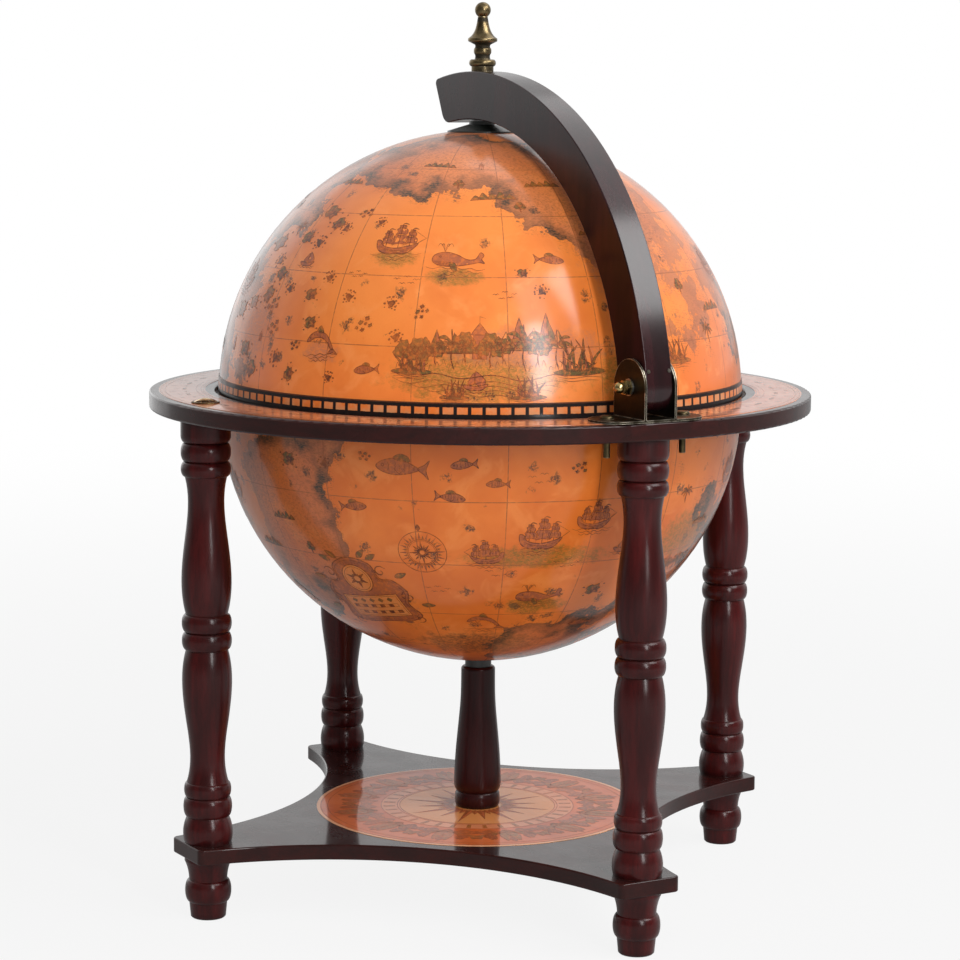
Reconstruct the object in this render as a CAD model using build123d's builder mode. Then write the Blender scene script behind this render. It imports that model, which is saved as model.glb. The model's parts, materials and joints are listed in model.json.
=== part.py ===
"""Tabletop globe bar: a hinged globe in a four-legged ring stand, with a bar tray inside.

Millimetres, +Z up, origin on the floor under the globe's axis. The lid opens towards +X, so
+X is the back, -X the front, +Y the left and -Y the right. Every sub-part is one STEP file.
"""

import os
from math import asin, cos, degrees, sin, sqrt

from build123d import *

os.makedirs("parts", exist_ok=True)

# ---- Driving dimensions ------------------------------------------------------------------
# Globe: two thin shells that part just under the top of the ring.
globe_r = 165.0
shell_wall = 3.5
bowl_rim_drop = 2.7  # of the bowl's rim under the top of the ring
rim_gap = 0.3  # daylight between the bowl's rim and the dome's
bowl_straight = 4.7  # upright wall of the bowl between its hemisphere and its rim

# Ring (the horizon table) and its glued paper.
ring_top_z = 318.0
ring_width = 41.0
ring_thick = 10.5
ring_edge_fillet = 1.2
ring_gap = 2.5  # between the globe and the hole of the ring
ring_border = 6.0  # bare wood on each side of the print
paper_thick = 0.25

# Shelf.
shelf_top_z = 47.5
shelf_thick = 9.5
shelf_end_reach = 15.0  # of the shelf's flat ends past the legs' centres
shelf_end_width = 41.0
shelf_waist_r = 113.5  # axis to the middle of each hollow side
shelf_corner_r = 4.0
shelf_edge_fillet = 1.0
medallion_r = 103.5

# Turned legs: a post above the shelf and a foot below it, on one circle.
leg_inset = 18.0  # from the edge of the ring
post_r = 15.2
post_groove_r = 12.8
post_upper_neck_r = 11.0
post_lower_neck_r = 10.6
post_block_h = 13.2
post_block_round_h = 4.4
post_top_bead_h = 11.4
post_next_bead_h = 9.3
post_middle_bead_h = 11.0
post_middle_rise = 0.9  # of the groove between the middle beads, over the post's mid-height
post_ball_foot_r = 14.4
post_ball_wide_h = 6.8
post_ball_h = 16.2
post_low_bead_r = 14.9
post_low_bead_h = 12.2
post_shoulder_r = 14.4
post_shoulder_h = 9.1
vase_wide_share = 0.26  # of the vase's height, from its full end
vase_middle_share = 0.54
vase_slim_share = 0.815
foot_top_r = 14.4
foot_top_h = 2.0  # straight part under the shelf
foot_cove_r = 12.4  # halfway up the hollow of the foot
foot_neck_r = 11.7
foot_bulb_r = 14.2
foot_bulb_low = 10.2  # height of the bulb's lower groove
foot_bulb_high = 24.0
foot_tip_r = 10.8
foot_tip_round = 0.8

# Centre column.
column_base_r = 14.6
column_base_h = 10.0
column_waist_r = 13.2
column_belly_r = 15.1
column_belly_h = 18.5
column_flank_r = 11.8
column_flank_share = 0.61  # of the height from belly to shoulder
column_top_r = 10.9
column_top_round = 2.0
neck_r = 8.4
neck_h = 5.4
turntable_washer_r = 8.0
turntable_washer_h = 0.6

# Meridian arm: an arc with a hooked tip over the pole and a round heel on the hinge pin.
arm_centre_x = 2.0
arm_centre_drop = 5.1  # under the dome's rim
arm_gap = 11.7  # between the globe and the arc inside the arm
arm_depth = 29.8
arm_width = 18.0
arm_tip_upper_angle = 103.3
arm_tip_lower_angle = 101.4
arm_tip_upper_round = 3.0
arm_tip_lower_round = 8.5
arm_edge_round = 0.7

# Hinge.
hinge_plate = 1.5
hinge_heel_gap = 2.85  # between the arm's heel and the foot of the bracket
hinge_ear_margin = 1.6  # past the arm's heel
hinge_side_gap = 0.6  # between the arm and each ear
hinge_foot_length = 72.0
bracket_bolt_y = 26.0
pin_r = 2.5
pin_head_r = 4.8
pin_head_h = 3.2
bush_wall = 1.5

# Pole fittings.
cap_r = 21.7
cap_edge = 0.8
cap_cone_h = 4.2
cap_boss_r = 8.15
hub_tube_r = 5.9
hub_flange_r = 18.0
hub_flange_depth = 5.0
hub_stand = 2.0  # of the hub's tube over the dome
finial_h = 43.0
finial_base_r = 6.9
finial_base_h = 3.2
finial_flange_r = 8.4
finial_flange_in_r = 6.6
finial_flange_h = 7.6  # heights on the finial are above its seat
finial_neck_r = 4.6
finial_cove = 0.5  # how far each hollow flares at its ends
finial_lower_neck_h = 9.7
finial_ring_low_h = 11.1
finial_ring_high_h = 14.5
finial_ring_r = 5.5
finial_upper_neck_h = 15.6
finial_cup_h = 16.8
finial_rim_low_h = 18.6
finial_rim_high_h = 20.8
finial_rim_r = 9.2
finial_rim_lip = 0.5
finial_bell_r = 5.4
finial_bell_h = 24.6
finial_waist_r = 3.7
finial_waist_h = 30.0
finial_stem_r = 3.0
finial_ball_r = 4.95

# Band round the dome's rim.
band_low = 1.5  # above the dome's rim
band_high = 11.3
band_thick = 0.4

# Bar inside the bowl.
floor_h = 44.4  # top of the floor over the bottom of the bowl
floor_thick = 4.0
tray_drop = 29.3  # under the bowl's rim
tray_thick = 5.0
ledge_width = 9.0
ledge_h = 5.0
bottle_hole_r = 45.0
glass_hole_r = 34.0
glass_circle_r = 102.0
glass_count = 4
hole_edge_round = 1.5
rim_hoop_wall = 2.2
rim_hoop_h = 11.0
bowl_hub_r = 20.0
bowl_hub_h = 7.0

# Compass let into the ring over the right leg.
compass_r = 7.8
compass_flange = 0.8
compass_rim_round = 0.5
compass_recess = 3.0
compass_wall = 0.6
compass_rim_over = 0.8  # of the case's rim past its wall
compass_dial_h = 0.3
compass_glass_wall = 0.5
compass_glass_rise = 2.2
needle_length = 11.0
needle_width = 1.3
needle_thick = 0.3
needle_hub_r = 0.9
needle_lift = 1.1  # over the dial
pivot_r = 0.3

# Fasteners.
leg_screw_r = 3.0
leg_screw_bite = 18.0
ring_screw_bite = 6.0
column_bolt_r = 3.0
column_head_h = 4.0
column_nut_h = 5.0
column_hex_r = 5.8
column_washer_r = 7.0
column_washer_h = 1.0
rod_r = 2.5
rod_bite = 15.0  # into the finial
pole_nut_r = 4.9
pole_nut_h = 4.0
pole_disc_r = 7.0
pole_disc_h = 1.0
pole_washer_r = 7.5
pole_washer_h = 0.6
bracket_bolt_r = 2.0
bracket_bolt_show = 10.0  # under the ring
bolt_head_r = 4.2
bolt_head_h = 2.3
bolt_head_round = 1.6
bracket_nut_r = 4.0
bracket_nut_h = 3.2
nut_recess_r = 4.7
nut_recess_h = 4.0
pin_washer_r = 5.0
pin_washer_h = 0.8
acorn_hex_r = 4.6
acorn_hex_h = 3.1
acorn_collar_r = 3.9
acorn_collar_h = 0.8
acorn_ball_r = 3.4
acorn_ball_reach = 2.2  # from the collar to the middle of the ball
nail_r = 0.6
nail_length = 12.0
nail_head_r = 1.1
nail_head_h = 0.5
nail_y = 7.0
nail_rise = 10.0  # over the hinge pin
thread_past_nut = 3.0

# Clearances, all radial or one-sided.
running = 0.05  # a shaft that turns in a hole
snug = 0.05  # a shaft or thread that stays put in a hole
glue_line = 0.05
loose = 0.4  # a shaft or hub that passes through without touching
seat = 0.1  # stacked washers and wheels
drop_in = 0.25  # a disc that drops into its seat

# ---- Worked-out sizes --------------------------------------------------------------------
globe_inner_r = globe_r - shell_wall
bowl_rim_z = ring_top_z - bowl_rim_drop
bowl_centre_z = bowl_rim_z - bowl_straight
bowl_low_z = bowl_centre_z - globe_r
dome_base_z = bowl_rim_z + rim_gap
ring_hole_r = globe_r + ring_gap
ring_r = ring_hole_r + ring_width
ring_low_z = ring_top_z - ring_thick
leg_circle_r = ring_r - leg_inset
print_top_z = ring_top_z + paper_thick
shelf_low_z = shelf_top_z - shelf_thick
medallion_top_z = shelf_top_z + paper_thick
post_length = ring_low_z - shelf_top_z
hoop_r = globe_inner_r - glue_line
floor_z = bowl_low_z + floor_h
tray_z = bowl_rim_z - tray_drop
neck_top_z = bowl_low_z - seat - turntable_washer_h
column_top_z = neck_top_z - neck_h
bracket_top_z = print_top_z + hinge_plate
arm_centre_z = dome_base_z - arm_centre_drop
arm_inner_r = globe_r + arm_gap
arm_mid_r = arm_inner_r + arm_depth / 2
arm_outer_r = arm_inner_r + arm_depth
hinge_z = bracket_top_z + hinge_heel_gap + arm_depth / 2
hinge_ear_r = arm_depth / 2 + hinge_ear_margin
hinge_x = arm_centre_x + sqrt(arm_mid_r**2 - (hinge_z - arm_centre_z) ** 2)
hinge_angle = degrees(asin((hinge_z - arm_centre_z) / arm_mid_r))
ear_in_y = arm_width / 2 + hinge_side_gap
ear_out_y = ear_in_y + hinge_plate
compass_y = -leg_circle_r
sides = {"back": 0, "left": 90, "front": 180, "right": 270}


def sphere_depth(radius, at):
    """Height over its centre of a sphere's surface at a distance from the upright axis."""
    return sqrt(radius**2 - at**2)


def cap_middle(radius, height):
    """Middle of the arc from the rim to the crown of a shallow cap: radius, height."""
    ball = (radius**2 + height**2) / (2 * height)
    half_angle = asin(radius / ball) / 2
    return ball * sin(half_angle), height - ball + ball * cos(half_angle)


def save(part, label):
    """Labels a finished sub-part and writes its STEP file."""
    part.label = label
    export_step(part, f"parts/{label}.step")


# ---- Shelf -------------------------------------------------------------------------------
with BuildPart() as shelf_board:
    half_end = shelf_end_width / 2
    shelf_end_r = leg_circle_r + shelf_end_reach
    waist_xy = shelf_waist_r / sqrt(2)
    with BuildSketch(Plane.XY.offset(shelf_low_z)) as shelf_outline:
        with BuildLine():
            for angle in sides.values():
                near, far, middle, next_near = (
                    Vector(x, y).rotate(Axis.Z, angle)
                    for x, y in (
                        (shelf_end_r, -half_end),
                        (shelf_end_r, half_end),
                        (waist_xy, waist_xy),
                        (half_end, shelf_end_r),
                    )
                )
                Line(near, far)
                ThreePointArc(far, middle, next_near)
        make_face()
        fillet(shelf_outline.vertices(), shelf_corner_r)
    extrude(amount=shelf_thick)
    level = shelf_board.faces().filter_by(Axis.Z)
    fillet(level.edges(), shelf_edge_fillet)
    with PolarLocations(leg_circle_r, len(sides)):
        Hole(leg_screw_r + snug)
    Hole(column_bolt_r + snug)
save(shelf_board.part, "shelf_board")

with BuildPart() as shelf_medallion:
    with BuildSketch(Plane.XY.offset(shelf_top_z)):
        Circle(medallion_r)
        Circle(column_bolt_r + snug, mode=Mode.SUBTRACT)
    extrude(amount=paper_thick)
save(shelf_medallion.part, "shelf_medallion")

# ---- Legs --------------------------------------------------------------------------------
# The post is turned between a plain block under the ring and a ball on the shelf, with a pair
# of beads at each end of two long vases. Heights are above the shelf.
middle_h = post_length / 2 + post_middle_rise
block_low_h = post_length - post_block_h
top_bead_low_h = block_low_h - post_top_bead_h
next_bead_low_h = top_bead_low_h - post_next_bead_h
shoulder_low_h = post_ball_h + post_low_bead_h
shoulder_h = shoulder_low_h + post_shoulder_h
leg_hole_h = 2 * leg_screw_bite + 1.0  # centred on the face that the screw crosses


def bead(low, high, inner, outer):
    """A half-round bead between two heights of a turned outline, drawn upward."""
    centre = (inner, (low + high) / 2)
    return EllipticalCenterArc(centre, outer - inner, (high - low) / 2, -90, arc_size=180)


def vase(wide_h, slim_h, slim_r):
    """Points up a long vase, full near wide_h and slender near slim_h."""
    rise = slim_h - wide_h
    points = [
        (post_groove_r, wide_h),
        (post_r, wide_h + vase_wide_share * rise),
        ((post_r + slim_r) / 2, wide_h + vase_middle_share * rise),
        (slim_r, wide_h + vase_slim_share * rise),
        (post_groove_r, slim_h),
    ]
    return points if rise > 0 else points[::-1]


for side, angle in sides.items():
    centre = Vector(leg_circle_r, 0).rotate(Axis.Z, angle)
    with BuildPart() as post:
        with BuildSketch(Plane.XZ.offset(-centre.Y).shift_origin((centre.X, centre.Y, shelf_top_z))):
            with BuildLine():
                Line((0, 0), (post_ball_foot_r, 0))
                ThreePointArc(
                    (post_ball_foot_r, 0), (post_r, post_ball_wide_h), (post_groove_r, post_ball_h)
                )
                bead(post_ball_h, shoulder_low_h, post_groove_r, post_low_bead_r)
                bead(shoulder_low_h, shoulder_h, post_groove_r, post_shoulder_r)
                Spline(*vase(middle_h - post_middle_bead_h, shoulder_h, post_lower_neck_r))
                bead(middle_h - post_middle_bead_h, middle_h, post_groove_r, post_r)
                bead(middle_h, middle_h + post_middle_bead_h, post_groove_r, post_r)
                Spline(*vase(middle_h + post_middle_bead_h, next_bead_low_h, post_upper_neck_r))
                bead(next_bead_low_h, top_bead_low_h, post_groove_r, post_r)
                bead(top_bead_low_h, block_low_h, post_groove_r, post_r)
                EllipticalCenterArc(
                    (post_groove_r, block_low_h + post_block_round_h),
                    post_r - post_groove_r,
                    post_block_round_h,
                    -90,
                    arc_size=90,
                )
                Polyline(
                    (post_r, block_low_h + post_block_round_h),
                    (post_r, post_length),
                    (0, post_length),
                    (0, 0),
                )
            make_face()
        revolve(axis=Axis(centre + Vector(0, 0, 1), (0, 0, 1)))
        with Locations(centre + Vector(0, 0, shelf_top_z), centre + Vector(0, 0, ring_low_z)):
            Cylinder(leg_screw_r + snug, leg_hole_h, mode=Mode.SUBTRACT)
    save(post.part, f"post_{side}")

    with BuildPart() as foot:
        with BuildSketch(Plane.XZ.offset(-centre.Y).shift_origin((centre.X, centre.Y, 0))):
            with BuildLine():
                Line((0, 0), (foot_tip_r - foot_tip_round, 0))
                Line((foot_tip_r - foot_tip_round, 0), (foot_tip_r, foot_tip_round))
                Line((foot_tip_r, foot_tip_round), (foot_neck_r, foot_bulb_low))
                bead(foot_bulb_low, foot_bulb_high, foot_neck_r, foot_bulb_r)
                cove_top_z = shelf_low_z - foot_top_h
                ThreePointArc(
                    (foot_neck_r, foot_bulb_high),
                    (foot_cove_r, (foot_bulb_high + cove_top_z) / 2),
                    (foot_top_r, cove_top_z),
                )
                Line((foot_top_r, cove_top_z), (foot_top_r, shelf_low_z))
                Polyline((foot_top_r, shelf_low_z), (0, shelf_low_z), (0, 0))
            make_face()
        revolve(axis=Axis(centre + Vector(0, 0, 1), (0, 0, 1)))
        with Locations(centre + Vector(0, 0, shelf_low_z)):
            Cylinder(leg_screw_r + snug, leg_hole_h, mode=Mode.SUBTRACT)
    save(foot.part, f"foot_{side}")

with BuildPart() as leg_screws:
    with BuildSketch(Plane.XY.offset(shelf_low_z - leg_screw_bite)):
        with PolarLocations(leg_circle_r, len(sides)):
            Circle(leg_screw_r)
    extrude(amount=shelf_thick + 2 * leg_screw_bite)
save(leg_screws.part, "leg_screws")

with BuildPart() as ring_screws:
    with BuildSketch(Plane.XY.offset(ring_low_z - leg_screw_bite)):
        with PolarLocations(leg_circle_r, len(sides)):
            Circle(leg_screw_r)
    extrude(amount=leg_screw_bite + ring_screw_bite)
save(ring_screws.part, "ring_screws")

# ---- Centre column -----------------------------------------------------------------------
with BuildPart() as centre_column:
    with BuildSketch(Plane.XZ):
        column_low_z = medallion_top_z
        waist_z = column_low_z + column_base_h
        belly_z = column_low_z + column_belly_h
        shoulder_z = column_top_z - column_top_round
        with BuildLine():
            Line((0, column_low_z), (column_waist_r, column_low_z))
            bead(column_low_z, waist_z, column_waist_r, column_base_r)
            Spline(
                (column_waist_r, waist_z),
                (column_belly_r, belly_z),
                (column_flank_r, belly_z + column_flank_share * (shoulder_z - belly_z)),
                (column_top_r, shoulder_z),
                tangents=((0.8, 0.6), (0, 1)),
            )
            RadiusArc(
                (column_top_r, shoulder_z),
                (column_top_r - column_top_round, column_top_z),
                -column_top_round,
            )
            Polyline(
                (column_top_r - column_top_round, column_top_z),
                (0, column_top_z),
                (0, column_low_z),
            )
        make_face()
    revolve(axis=Axis.Z)
    with Locations((0, 0, (column_low_z + column_top_z) / 2)):
        Cylinder(column_bolt_r + snug, column_top_z, mode=Mode.SUBTRACT)
save(centre_column.part, "centre_column")

# The bowl turns on the bolt that runs up through the shelf and the column.
bowl_hub_top_z = bowl_centre_z - globe_inner_r + bowl_hub_h
low_washer_z = shelf_low_z - column_washer_h
high_washer_z = bowl_hub_top_z + seat
column_nut_z = high_washer_z + column_washer_h

with BuildPart() as neck_bush:
    with BuildSketch(Plane.XY.offset(column_top_z)):
        Circle(neck_r)
        Circle(column_bolt_r + snug, mode=Mode.SUBTRACT)
    extrude(amount=neck_top_z - column_top_z)
save(neck_bush.part, "neck_bush")

with BuildPart() as turntable_washer:
    with BuildSketch(Plane.XY.offset(neck_top_z)):
        Circle(turntable_washer_r)
        Circle(column_bolt_r + snug, mode=Mode.SUBTRACT)
    extrude(amount=turntable_washer_h)
save(turntable_washer.part, "turntable_washer")

with BuildPart() as column_bolt:
    with BuildSketch(Plane.XY.offset(low_washer_z - column_head_h)):
        RegularPolygon(column_hex_r, 6)
    extrude(amount=column_head_h)
    with BuildSketch(Plane.XY.offset(low_washer_z)):
        Circle(column_bolt_r)
    extrude(amount=column_nut_z + column_nut_h + thread_past_nut - low_washer_z)
save(column_bolt.part, "column_bolt")

with BuildPart() as column_washers:
    for low in (low_washer_z, high_washer_z):
        with BuildSketch(Plane.XY.offset(low)):
            Circle(column_washer_r)
            Circle(column_bolt_r + snug, mode=Mode.SUBTRACT)
        extrude(amount=column_washer_h)
save(column_washers.part, "column_washers")

with BuildPart() as column_nut:
    with BuildSketch(Plane.XY.offset(column_nut_z)):
        RegularPolygon(column_hex_r, 6)
        Circle(column_bolt_r + snug, mode=Mode.SUBTRACT)
    extrude(amount=column_nut_h)
save(column_nut.part, "column_nut")

# ---- Ring --------------------------------------------------------------------------------
bolt_points = [(hinge_x, bracket_bolt_y), (hinge_x, -bracket_bolt_y)]

with BuildPart() as ring_board:
    with BuildSketch(Plane.XY.offset(ring_low_z)):
        Circle(ring_r)
        Circle(ring_hole_r, mode=Mode.SUBTRACT)
    extrude(amount=ring_thick)
    fillet(ring_board.faces().filter_by(Axis.Z).edges(), ring_edge_fillet)
    with BuildSketch(Plane.XY.offset(ring_low_z)):
        with PolarLocations(leg_circle_r, len(sides)):
            Circle(leg_screw_r + snug)
    extrude(amount=ring_screw_bite + seat, mode=Mode.SUBTRACT)
    with BuildSketch(Plane.XY.offset(ring_low_z)):
        with Locations(*bolt_points):
            Circle(nut_recess_r)
    extrude(amount=nut_recess_h, mode=Mode.SUBTRACT)
    with BuildSketch(Plane.XY.offset(ring_low_z)):
        with Locations(*bolt_points):
            Circle(bracket_bolt_r + snug)
    extrude(amount=ring_thick, mode=Mode.SUBTRACT)
    with BuildSketch(Plane.XY.offset(ring_top_z - compass_recess)):
        with Locations((0, compass_y)):
            Circle(compass_r + snug)
    extrude(amount=compass_recess, mode=Mode.SUBTRACT)
save(ring_board.part, "ring_board")

with BuildPart() as ring_print:
    with BuildSketch(Plane.XY.offset(ring_top_z)):
        Circle(ring_r - ring_border)
        Circle(ring_hole_r + ring_border, mode=Mode.SUBTRACT)
        with Locations((0, compass_y)):
            Circle(compass_r + snug, mode=Mode.SUBTRACT)
        with Locations(*bolt_points):
            Circle(bracket_bolt_r + snug, mode=Mode.SUBTRACT)
    extrude(amount=paper_thick)
save(ring_print.part, "ring_print")

# ---- Hinge bracket and its fasteners -----------------------------------------------------
with BuildPart() as hinge_bracket:
    with BuildSketch(Plane.XY.offset(print_top_z)):
        with Locations((hinge_x, 0)):
            SlotOverall(hinge_foot_length, 2 * hinge_ear_r, rotation=90)
            with Locations((0, bracket_bolt_y), (0, -bracket_bolt_y)):
                Circle(bracket_bolt_r + snug, mode=Mode.SUBTRACT)
    extrude(amount=hinge_plate)
    for y in (ear_in_y, -ear_out_y):
        with BuildSketch(Plane.XZ.offset(-y - hinge_plate)):
            with Locations((hinge_x, hinge_z)):
                Circle(hinge_ear_r)
            with Locations((hinge_x, (print_top_z + hinge_z) / 2)):
                Rectangle(2 * hinge_ear_r, hinge_z - print_top_z)
            with Locations((hinge_x, hinge_z)):
                Circle(pin_r + snug, mode=Mode.SUBTRACT)
        extrude(amount=hinge_plate)
save(hinge_bracket.part, "hinge_bracket")

bracket_nut_z = ring_low_z + nut_recess_h - bracket_nut_h

with BuildPart() as bracket_bolts:
    bolt_end_z = ring_low_z - bracket_bolt_show
    with BuildSketch(Plane.XY.offset(bolt_end_z)):
        with Locations(*bolt_points):
            Circle(bracket_bolt_r)
    extrude(amount=bracket_top_z - bolt_end_z)
    with BuildSketch(Plane.XY.offset(bracket_top_z)):
        with Locations(*bolt_points):
            Circle(bolt_head_r)
    extrude(amount=bolt_head_h)
    top_edges = bracket_bolts.faces().filter_by(Axis.Z).group_by(Axis.Z)[-1].edges()
    fillet(top_edges, bolt_head_round)
save(bracket_bolts.part, "bracket_bolts")

with BuildPart() as bracket_nuts:
    with BuildSketch(Plane.XY.offset(bracket_nut_z)):
        with Locations(*bolt_points):
            RegularPolygon(bracket_nut_r, 6)
            Circle(bracket_bolt_r + snug, mode=Mode.SUBTRACT)
    extrude(amount=bracket_nut_h)
save(bracket_nuts.part, "bracket_nuts")

# The pin's length is measured outward from the middle of the arm along -Y and +Y.
washer_out_y = ear_out_y + pin_washer_h
acorn_collar_y = washer_out_y + acorn_hex_h
acorn_ball_y = acorn_collar_y + acorn_collar_h + acorn_ball_reach
pin_axis = Axis((hinge_x, 0, hinge_z), (0, 1, 0))

with BuildPart() as hinge_pin:
    with BuildSketch(Plane.XY.offset(hinge_z)):
        with BuildLine():
            Polyline(
                (hinge_x, -acorn_collar_y),
                (hinge_x + pin_r, -acorn_collar_y),
                (hinge_x + pin_r, washer_out_y),
                (hinge_x + pin_head_r, washer_out_y),
            )
            mid_r, mid_h = cap_middle(pin_head_r, pin_head_h)
            ThreePointArc(
                (hinge_x + pin_head_r, washer_out_y),
                (hinge_x + mid_r, washer_out_y + mid_h),
                (hinge_x, washer_out_y + pin_head_h),
            )
            Line((hinge_x, washer_out_y + pin_head_h), (hinge_x, -acorn_collar_y))
        make_face()
    revolve(axis=pin_axis)
save(hinge_pin.part, "hinge_pin")

with BuildPart() as hinge_washers:
    for y in (ear_out_y, -washer_out_y):
        with BuildSketch(Plane.XZ.offset(-y - pin_washer_h)):
            with Locations((hinge_x, hinge_z)):
                Circle(pin_washer_r)
                Circle(pin_r + snug, mode=Mode.SUBTRACT)
        extrude(amount=pin_washer_h)
save(hinge_washers.part, "hinge_washers")

with BuildPart() as hinge_acorn_nut:
    with BuildSketch(Plane.XZ.offset(washer_out_y)):
        with Locations((hinge_x, hinge_z)):
            RegularPolygon(acorn_hex_r, 6)
    extrude(amount=acorn_hex_h)
    with BuildSketch(Plane.XZ.offset(acorn_collar_y)):
        with Locations((hinge_x, hinge_z)):
            Circle(acorn_collar_r)
    extrude(amount=acorn_collar_h)
    with Locations((hinge_x, -acorn_ball_y, hinge_z)):
        Sphere(acorn_ball_r)
    with BuildSketch(Plane.XZ.offset(washer_out_y)):
        with Locations((hinge_x, hinge_z)):
            Circle(pin_r + snug)
    extrude(amount=acorn_hex_h + seat, mode=Mode.SUBTRACT)
save(hinge_acorn_nut.part, "hinge_acorn_nut")

# ---- Compass -----------------------------------------------------------------------------
compass_floor_z = ring_top_z - compass_recess + seat
compass_dial_z = compass_floor_z + compass_wall
compass_rim_z = print_top_z + compass_flange
compass_bore_r = compass_r - compass_wall
needle_z = compass_dial_z + compass_dial_h + needle_lift

with BuildPart() as compass_case:
    with BuildSketch(Plane.XY.offset(compass_floor_z)):
        with Locations((0, compass_y)):
            Circle(compass_r)
    extrude(amount=print_top_z - compass_floor_z)
    with BuildSketch(Plane.XY.offset(print_top_z)):
        with Locations((0, compass_y)):
            Circle(compass_r + compass_rim_over)
    extrude(amount=compass_flange)
    with BuildSketch(Plane.XY.offset(compass_dial_z)):
        with Locations((0, compass_y)):
            Circle(compass_bore_r)
    extrude(amount=compass_rim_z - compass_dial_z, mode=Mode.SUBTRACT)
    top_edges = compass_case.edges().filter_by(GeomType.CIRCLE).group_by(Axis.Z)[-1]
    fillet(top_edges.sort_by(SortBy.RADIUS)[-1], compass_rim_round)
save(compass_case.part, "compass_case")

with BuildPart() as compass_dial:
    with BuildSketch(Plane.XY.offset(compass_dial_z)):
        with Locations((0, compass_y)):
            Circle(compass_bore_r - snug)
            Circle(pivot_r + snug, mode=Mode.SUBTRACT)
    extrude(amount=compass_dial_h)
save(compass_dial.part, "compass_dial")

with BuildPart() as compass_pivot:
    with BuildSketch(Plane.XY.offset(compass_dial_z)):
        with Locations((0, compass_y)):
            Circle(pivot_r)
    extrude(amount=needle_z + needle_thick - compass_dial_z)
save(compass_pivot.part, "compass_pivot")

with BuildPart() as compass_needle:
    with BuildSketch(Plane.XY.offset(needle_z)):
        with BuildLine():
            Polyline(
                (needle_length / 2, compass_y),
                (0, compass_y + needle_width / 2),
                (-needle_length / 2, compass_y),
                (0, compass_y - needle_width / 2),
                close=True,
            )
        make_face()
        with Locations((0, compass_y)):
            Circle(needle_hub_r)
            Circle(pivot_r + running, mode=Mode.SUBTRACT)
    extrude(amount=needle_thick)
save(compass_needle.part, "compass_needle")

glass_low_z = compass_rim_z - compass_glass_wall
glass_r = compass_bore_r - snug
glass_in_r = glass_r - compass_glass_wall

with BuildPart() as compass_glass:
    with BuildSketch(Plane.XZ.shift_origin((0, 0, glass_low_z)).offset(-compass_y)):
        with BuildLine():
            mid_r, mid_h = cap_middle(glass_r, compass_glass_rise)
            Line((glass_in_r, 0), (glass_r, 0))
            Line((glass_r, 0), (glass_r, compass_glass_wall))
            ThreePointArc(
                (glass_r, compass_glass_wall),
                (mid_r, compass_glass_wall + mid_h),
                (0, compass_glass_wall + compass_glass_rise),
            )
            Line((0, compass_glass_wall + compass_glass_rise), (0, compass_glass_rise))
            mid_r, mid_h = cap_middle(glass_in_r, compass_glass_rise)
            ThreePointArc((0, compass_glass_rise), (mid_r, mid_h), (glass_in_r, 0))
        make_face()
    revolve(axis=Axis((0, compass_y, 0), (0, 0, 1)))
save(compass_glass.part, "compass_glass")

# ---- Bowl --------------------------------------------------------------------------------
with BuildPart() as bowl_shell:
    with BuildSketch(Plane.XZ):
        with BuildLine():
            outer_arc = CenterArc((0, bowl_centre_z), globe_r, 270, 90)
            inner_arc = CenterArc((0, bowl_centre_z), globe_inner_r, 270, 90)
            Polyline(
                outer_arc @ 1,
                (globe_r, bowl_rim_z),
                (globe_inner_r, bowl_rim_z),
                inner_arc @ 1,
            )
            Line(outer_arc @ 0, inner_arc @ 0)
        make_face()
    revolve(axis=Axis.Z)
    with Locations((0, 0, bowl_low_z)):
        Cylinder(column_bolt_r + loose, 4 * shell_wall, mode=Mode.SUBTRACT)
save(bowl_shell.part, "bowl_shell")

# The hoop stands in the bowl's upright wall and runs down a little way inside its curve.
with BuildPart() as bowl_rim:
    hoop_low_z = bowl_rim_z - rim_hoop_h
    hoop_low_r = sphere_depth(hoop_r, bowl_centre_z - hoop_low_z)
    with BuildSketch(Plane.XY.offset(bowl_centre_z)):
        Circle(hoop_r)
        Circle(hoop_r - rim_hoop_wall, mode=Mode.SUBTRACT)
    extrude(amount=bowl_straight)
    with BuildSketch(Plane.XY.offset(hoop_low_z)):
        Circle(hoop_low_r)
        Circle(hoop_r - rim_hoop_wall, mode=Mode.SUBTRACT)
    extrude(amount=bowl_centre_z - hoop_low_z)
save(bowl_rim.part, "bowl_rim")

with BuildPart() as bowl_hub:
    with BuildSketch(Plane.XZ):
        bore = column_bolt_r + running
        low_in = bowl_centre_z - sphere_depth(hoop_r, bore)
        low_out = bowl_centre_z - sphere_depth(hoop_r, bowl_hub_r)
        low_mid = bowl_centre_z - sphere_depth(hoop_r, bowl_hub_r / 2)
        with BuildLine():
            ThreePointArc((bore, low_in), (bowl_hub_r / 2, low_mid), (bowl_hub_r, low_out))
            Polyline(
                (bowl_hub_r, low_out),
                (bowl_hub_r, bowl_hub_top_z),
                (bore, bowl_hub_top_z),
                (bore, low_in),
            )
        make_face()
    revolve(axis=Axis.Z)
save(bowl_hub.part, "bowl_hub")

with BuildPart() as bowl_floor:
    floor_low_z = floor_z - floor_thick
    with BuildSketch(Plane.XY.offset(floor_low_z)):
        Circle(sphere_depth(globe_inner_r, bowl_centre_z - floor_low_z) - drop_in)
    extrude(amount=floor_thick)
save(bowl_floor.part, "bowl_floor")

tray_low_z = tray_z - tray_thick
with BuildPart() as tray_ledge:
    with BuildSketch(Plane.XY.offset(tray_low_z - ledge_h)):
        ledge_r = sphere_depth(hoop_r, bowl_centre_z - tray_low_z + ledge_h)
        Circle(ledge_r)
        Circle(ledge_r - ledge_width, mode=Mode.SUBTRACT)
    extrude(amount=ledge_h)
save(tray_ledge.part, "tray_ledge")

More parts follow.
